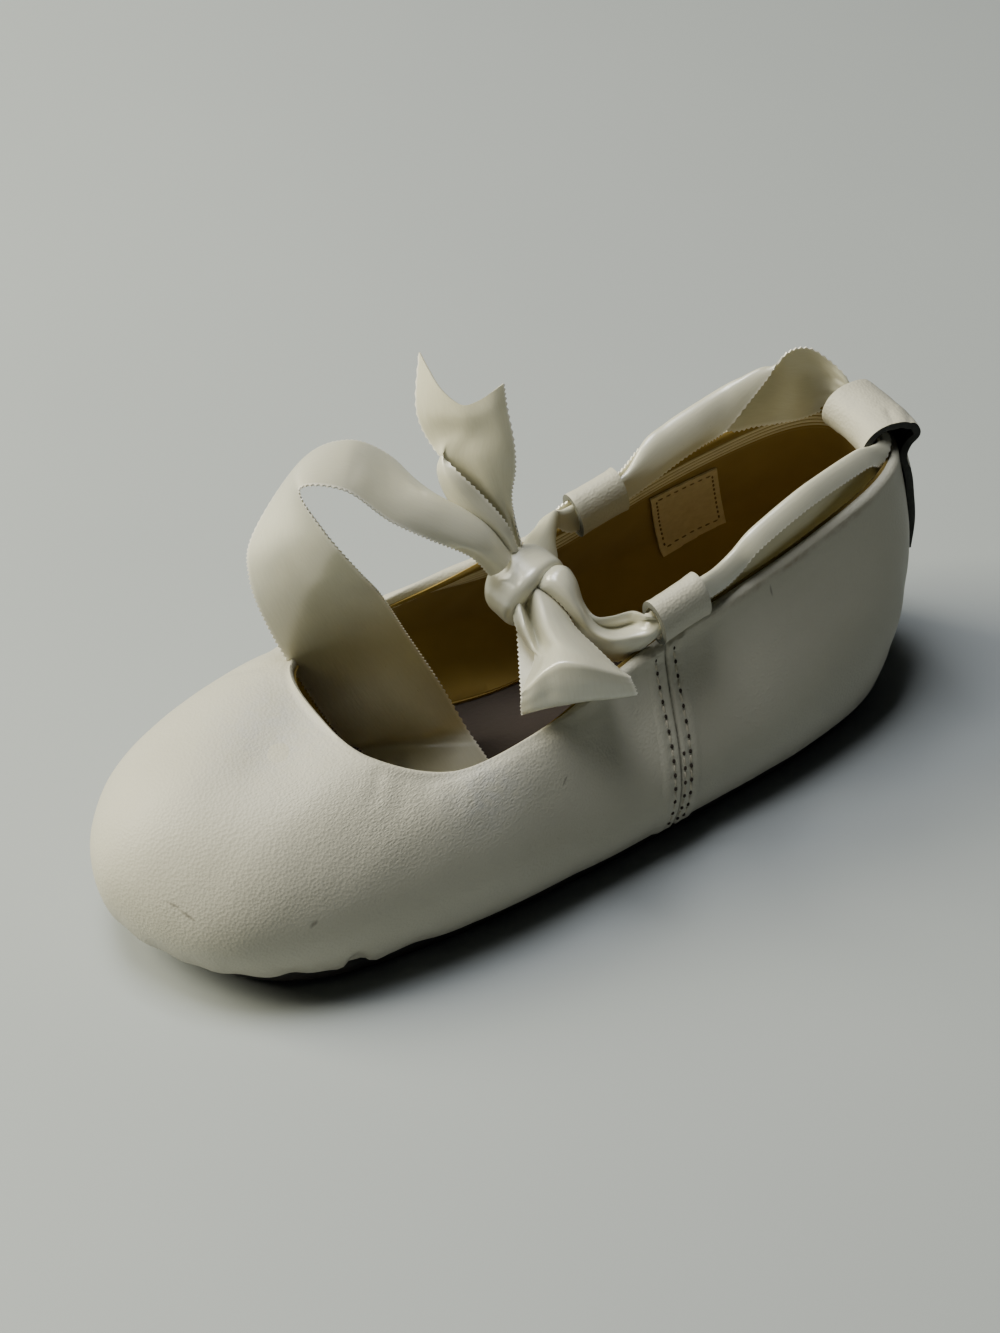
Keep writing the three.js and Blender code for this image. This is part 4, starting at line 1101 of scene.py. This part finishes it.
def insole_piece():
    points = layer_rings(INSOLE_EDGE + INSOLE_FACE, INSOLE_INSET, INSOLE_FOOT)
    face = np.arange(points.shape[1]) >= len(INSOLE_EDGE)
    points[..., 2] += np.where(face, wobble(points, *INSOLE_UNEVEN), 0)
    closed_piece("insole_sock", points, "insole", SUEDE_IN_PAINTED_SHADE, "insole", degrees=60)


outsole_piece()
insole_piece()

# Ribbon loops on the topline
LOOP = {"long": 8, "tall": 7.6, "wide": 5, "wall": 0.9}
LOOP_CORNERS = 40
LOOP_CUTS = 7
LOOP_FLARE = 0.05
LOOP_RIPPLE = 0.03
RIPPLE_TURN = 9
LOOP_BEVEL = 0.18
LEFT_LOOP = {"row": SEAM_ROW + 0.16, "inside": WALL / 2, "lift": LOOP["tall"] / 2 + 0.8}
RIGHT_LOOP = {"row": ROUND - SEAM_ROW - 0.3, "inside": 3.5, "lift": 3.4}


def side_loop(name, node, place):
    """An oval sleeve: a tube drawn to its oval, thickened, its edges rounded and its ends flared."""
    deselect()
    bpy.ops.mesh.primitive_cylinder_add(vertices=LOOP_CORNERS, radius=0.5 * MM, depth=LOOP["long"] * MM,
                                        end_fill_type="NOTHING")
    piece = bpy.context.object
    piece.name = name
    middle_wide, middle_tall = LOOP["wide"] - LOOP["wall"], LOOP["tall"] - LOOP["wall"]
    edit(piece,
         (bpy.ops.mesh.subdivide, {"number_cuts": LOOP_CUTS}),
         (bpy.ops.transform.resize, {"value": (middle_wide, middle_tall, 1)}))
    row = np.array(float(place["row"]))
    step = 0.05
    along = unit(skin(row - step, 1.0) - skin(row + step, 1.0))
    across = unit(np.cross([0, 0, 1], along))
    high = np.cross(along, across)
    level = skin_normal(row, 1.0) * [1, 1, 0]
    centre = skin(row, 1.0) - unit(level) * place["inside"] + high * place["lift"]
    turn = Matrix((across, high, along)).transposed()
    for point in piece.data.vertices:
        local = np.array(point.co) / MM
        end = abs(local[2]) / (LOOP["long"] / 2)
        ripple = math.sin(RIPPLE_TURN * local[2]) * max(0, local[1]) / LOOP["tall"]
        local[:2] *= 1 + LOOP_FLARE * end ** 4 - LOOP_RIPPLE * ripple
        point.co = Vector((centre - MIDDLE) * MM) + turn @ Vector(local * MM)
    finish_piece(piece, "upper_leather", (LEATHER, RAW_EDGE), node)
    apply_modifier(piece, "SOLIDIFY", thickness=LOOP["wall"] * MM, offset=0.0, material_offset_rim=1)
    apply_modifier(piece, "BEVEL", width=LOOP_BEVEL * MM, segments=2, limit_method="ANGLE")
    smooth(piece, degrees=50)


side_loop("ribbon_sleeve_left", "side_loop_left", LEFT_LOOP)
side_loop("ribbon_sleeve_right", "side_loop_right", RIGHT_LOOP)

# Heel strap: up the back of the heel, over the rim as a tunnel, down inside. Tunnel points are set
# from the rim: inward, up, and how much they keep to the round of the rim.
STRAP = {"aside": 1.5, "half_width": 5.9, "thick": 1.1, "near_cut": 1.2, "lowest": 0.46, "off": 0.2}
TUNNEL = np.array([
    [-1.2, 0.9, 0.8],
    [-1.5, 2.6, 0.45],
    [0.1, 4.4, 0.3],
    [3.2, 5.0, 0.25],
    [5.8, 4.2, 0.35],
    [6.9, 2.2, 0.45],
    [6.3, 0.2, 0.5],
    [4.7, -1.2, 0.75],
    [3.0, -2.8, 1],
])
STRAP_COLUMNS = 29
STRAP_WALL_ROWS = 6
STRAP_ROWS = 90
HEEL_STEPS = 401
STRAP_BEVEL = 0.2
SHARP_DEGREES = 50
# The near mouth is cut back from here inward, over so much, above this height
CUT_FROM = 2
CUT_OVER = 6
CUT_ABOVE = 38
# The tunnel is uneven up and down above this height, and the whole strap in and out
UNEVEN_ABOVE = 40
TUNNEL_UNEVEN = (0.12, 2.2, 4.0)
STRAP_UNEVEN = (0.10, 3.0, 8.0)
# Creases of the strap beside its near mouth: one end, other end
STRAP_CREASES = [
    [(3.4, 6.9, 45.2), (1.6, 4.2, 45.0)],
    [(1.4, 7.2, 44.2), (0.4, 5.4, 43.8)],
    [(5.8, 6.2, 45.2), (4.6, 3.6, 45.4)],
]
CREASE_HALF = 0.55
CREASE_DEPTH = 0.3


def heel_rows(y, v):
    """The row at the heel where the skin stands so far to the side."""
    rows = np.linspace(HEEL_ROW - 1, HEEL_ROW + 1, HEEL_STEPS)
    return np.interp(-y, -skin(rows, np.full_like(rows, v))[:, 1], rows)


def strap_line(y):
    """A line up the strap, over the tunnel and down inside, so far to the side."""
    middle = STRAP["off"] + STRAP["thick"] / 2
    points = []
    for v in np.linspace(STRAP["lowest"], BELOW_RIM, STRAP_WALL_ROWS):
        row = np.array(heel_rows(y, v))
        points.append(skin(row, v) + skin_normal(row, v) * middle)
    rim = skin(np.array(heel_rows(y, 1.0)), 1.0)
    rim_middle = skin(np.array(float(HEEL_ROW)), 1.0)
    for inward, up, follow in TUNNEL:
        x = rim_middle[0] + (rim[0] - rim_middle[0]) * follow + inward
        points.append(np.array([x, y, rim[2] + up]))
    points = np.array(points)
    return through(points, np.linspace(0, len(points) - 1, STRAP_ROWS), False)


def heel_strap_piece():
    across = np.linspace(-1, 1, STRAP_COLUMNS)
    points = np.stack([strap_line(STRAP["aside"] + share * STRAP["half_width"]) for share in across])
    turned_in = np.clip((points[..., 0] - CUT_FROM) / CUT_OVER, 0, 1) * (points[..., 2] > CUT_ABOVE)
    points[..., 1] -= STRAP["near_cut"] * np.clip(across, 0, 1)[:, None] * turned_in
    points[..., 2] += wobble(points, *TUNNEL_UNEVEN) * (points[..., 2] > UNEVEN_ABOVE)
    points[..., 0] += wobble(points, *STRAP_UNEVEN)
    for start, end in STRAP_CREASES:
        points[..., 2] -= CREASE_DEPTH * soft(to_segment(points, start, end), CREASE_HALF)
    piece = wrapped_grid("heel_ribbon_strap", points)
    edit(piece, (bpy.ops.mesh.flip_normals, {}))
    finish_piece(piece, "upper_leather", (LEATHER, FLESH_SIDE), "heel_strap")
    apply_modifier(piece, "SOLIDIFY", thickness=STRAP["thick"] * MM, offset=0.0,
                   material_offset=1, material_offset_rim=1)
    apply_modifier(piece, "BEVEL", width=STRAP_BEVEL * MM, segments=2, limit_method="ANGLE",
                   angle_limit=math.radians(SHARP_DEGREES))
    smooth(piece, SHARP_DEGREES)


heel_strap_piece()

# Side seams: rows of stitches beside the butted edges. Offsets go from the rim to the foot.
# Each row: offsets from the groove, first and last share of the wall, stitches
STITCH_ROWS = [
    [(-2.2, -1.5, -1.3), (0.965, 0.05), 13],
    [(1.3, 1.6, 1.5), (0.965, 0.05), 13],
    [(0.5, 0.45, 0.4), (0.44, 0.05), 6],
]
HOLE_SIZE = (0.25, 0.37, 0.19)
THREAD_SIZE = (0.20, 0.66, 0.14)
LABEL_THREAD_SIZE = (0.18, 0.45, 0.14)
HOLE_LIFT = 0.02


def stitch_places(seam):
    """Place, direction along the row and direction out of the leather for each hole and each thread."""
    places = []
    for offsets, reach, count in STITCH_ROWS:
        v = np.linspace(*reach, 2 * count - 1)
        sideways = np.interp(np.linspace(0, 2, len(v)), range(3), offsets)
        mirrored = 1 if seam < HEEL_ROW else -1
        rows = beside_rows(np.full_like(v, seam), mirrored * sideways, v)
        outs = skin_normal(rows, v)
        points = skin(rows, v) + outs * (SEAM_RAISE - STITCH_SINK)
        runs = unit(np.gradient(points, axis=0))
        places.append(list(zip(points, runs, outs)))
    return places


def seam_stitches(first):
    """Every other stitch place of both seams."""
    return [place for seam in (SEAM_ROW, ROUND - SEAM_ROW) for places in stitch_places(seam)
            for place in places[first::2]]


def label_stitches():
    """Stitch places round the label, a little way in from its edges."""
    middle = LABEL_CORNERS.mean(0)
    corners = LABEL_CORNERS + (middle - LABEL_CORNERS) * 2 * LABEL_MARGIN
    out = unit(np.cross(corners[1] - corners[0], corners[0] - corners[3]))
    out *= np.sign(out[1])
    places = []
    for start, end in zip(corners, np.roll(corners, -1, axis=0)):
        count = round(np.linalg.norm(end - start) / LABEL_STITCH)
        shares = (np.arange(count)[:, None] + 0.5) / count
        points = on_lining(start + (end - start) * shares, LABEL_LIFT + LABEL_THICK / 2)
        places += [(point, unit(end - start), out) for point in points]
    return places


def stitch_beads(name, size, places, lift, material):
    """One small rounded bead, copied to every stitch place and joined."""
    deselect()
    bpy.ops.mesh.primitive_uv_sphere_add(segments=8, ring_count=5, radius=MM)
    bead = bpy.context.object
    edit(bead, (bpy.ops.transform.resize, {"value": size}))
    copies = []
    for point, run, out in places:
        turn = Matrix((np.cross(run, out), run, out)).transposed()
        middle = Vector((point + out * lift - MIDDLE) * MM)
        copied = bpy.data.objects.new(name, bead.data.copy())
        copied.data.transform(Matrix.Translation(middle) @ turn.to_4x4())
        bpy.context.collection.objects.link(copied)
        copies.append(copied)
    bpy.data.objects.remove(bead)
    deselect()
    for copied in copies:
        copied.select_set(True)
    bpy.context.view_layer.objects.active = copies[0]
    bpy.ops.object.join()
    piece = bpy.context.object
    piece.name = name
    finish_piece(piece, "thread", (material,))
    smooth(piece, degrees=80)


stitch_beads("seam_needle_holes", HOLE_SIZE, seam_stitches(0), HOLE_LIFT, HOLE_PAINTED_SHADE)
stitch_beads("seam_thread", THREAD_SIZE, seam_stitches(1), 0.0, THREAD)
stitch_beads("label_thread", LABEL_THREAD_SIZE, label_stitches(), 0.0, LABEL_THREAD)

# Floor and light. Each light: name, place in metres, size, power, colour
FLOOR_SIZE = 4
ROOM_LIGHT = 0.015

deselect()
bpy.ops.mesh.primitive_plane_add(size=FLOOR_SIZE)
floor = bpy.context.object
floor.name = "floor"
floor.data.materials.append(BOARD)

LIGHTS = [
    ("window", (0.46, -0.38, 0.46), 0.4, 9.2, "#fff9df"),
    ("overhead", (0.13, -0.24, 1.0), 0.4, 7.6, "#fbfdff"),
]
for name, place, size, power, tint in LIGHTS:
    lamp = bpy.data.lights.new(name, "AREA")
    lamp.size = size
    lamp.energy = power
    lamp.color = colour(tint)[:3]
    light = bpy.data.objects.new(name, lamp)
    light.location = place
    light.rotation_euler = (-Vector(place)).to_track_quat("-Z", "Y").to_euler()
    bpy.context.collection.objects.link(light)

world = bpy.data.worlds.new("soft_room")
world.use_nodes = True
world.node_tree.nodes["Background"].inputs["Color"].default_value = colour("#c8cdd2")
world.node_tree.nodes["Background"].inputs["Strength"].default_value = ROOM_LIGHT
bpy.context.scene.world = world
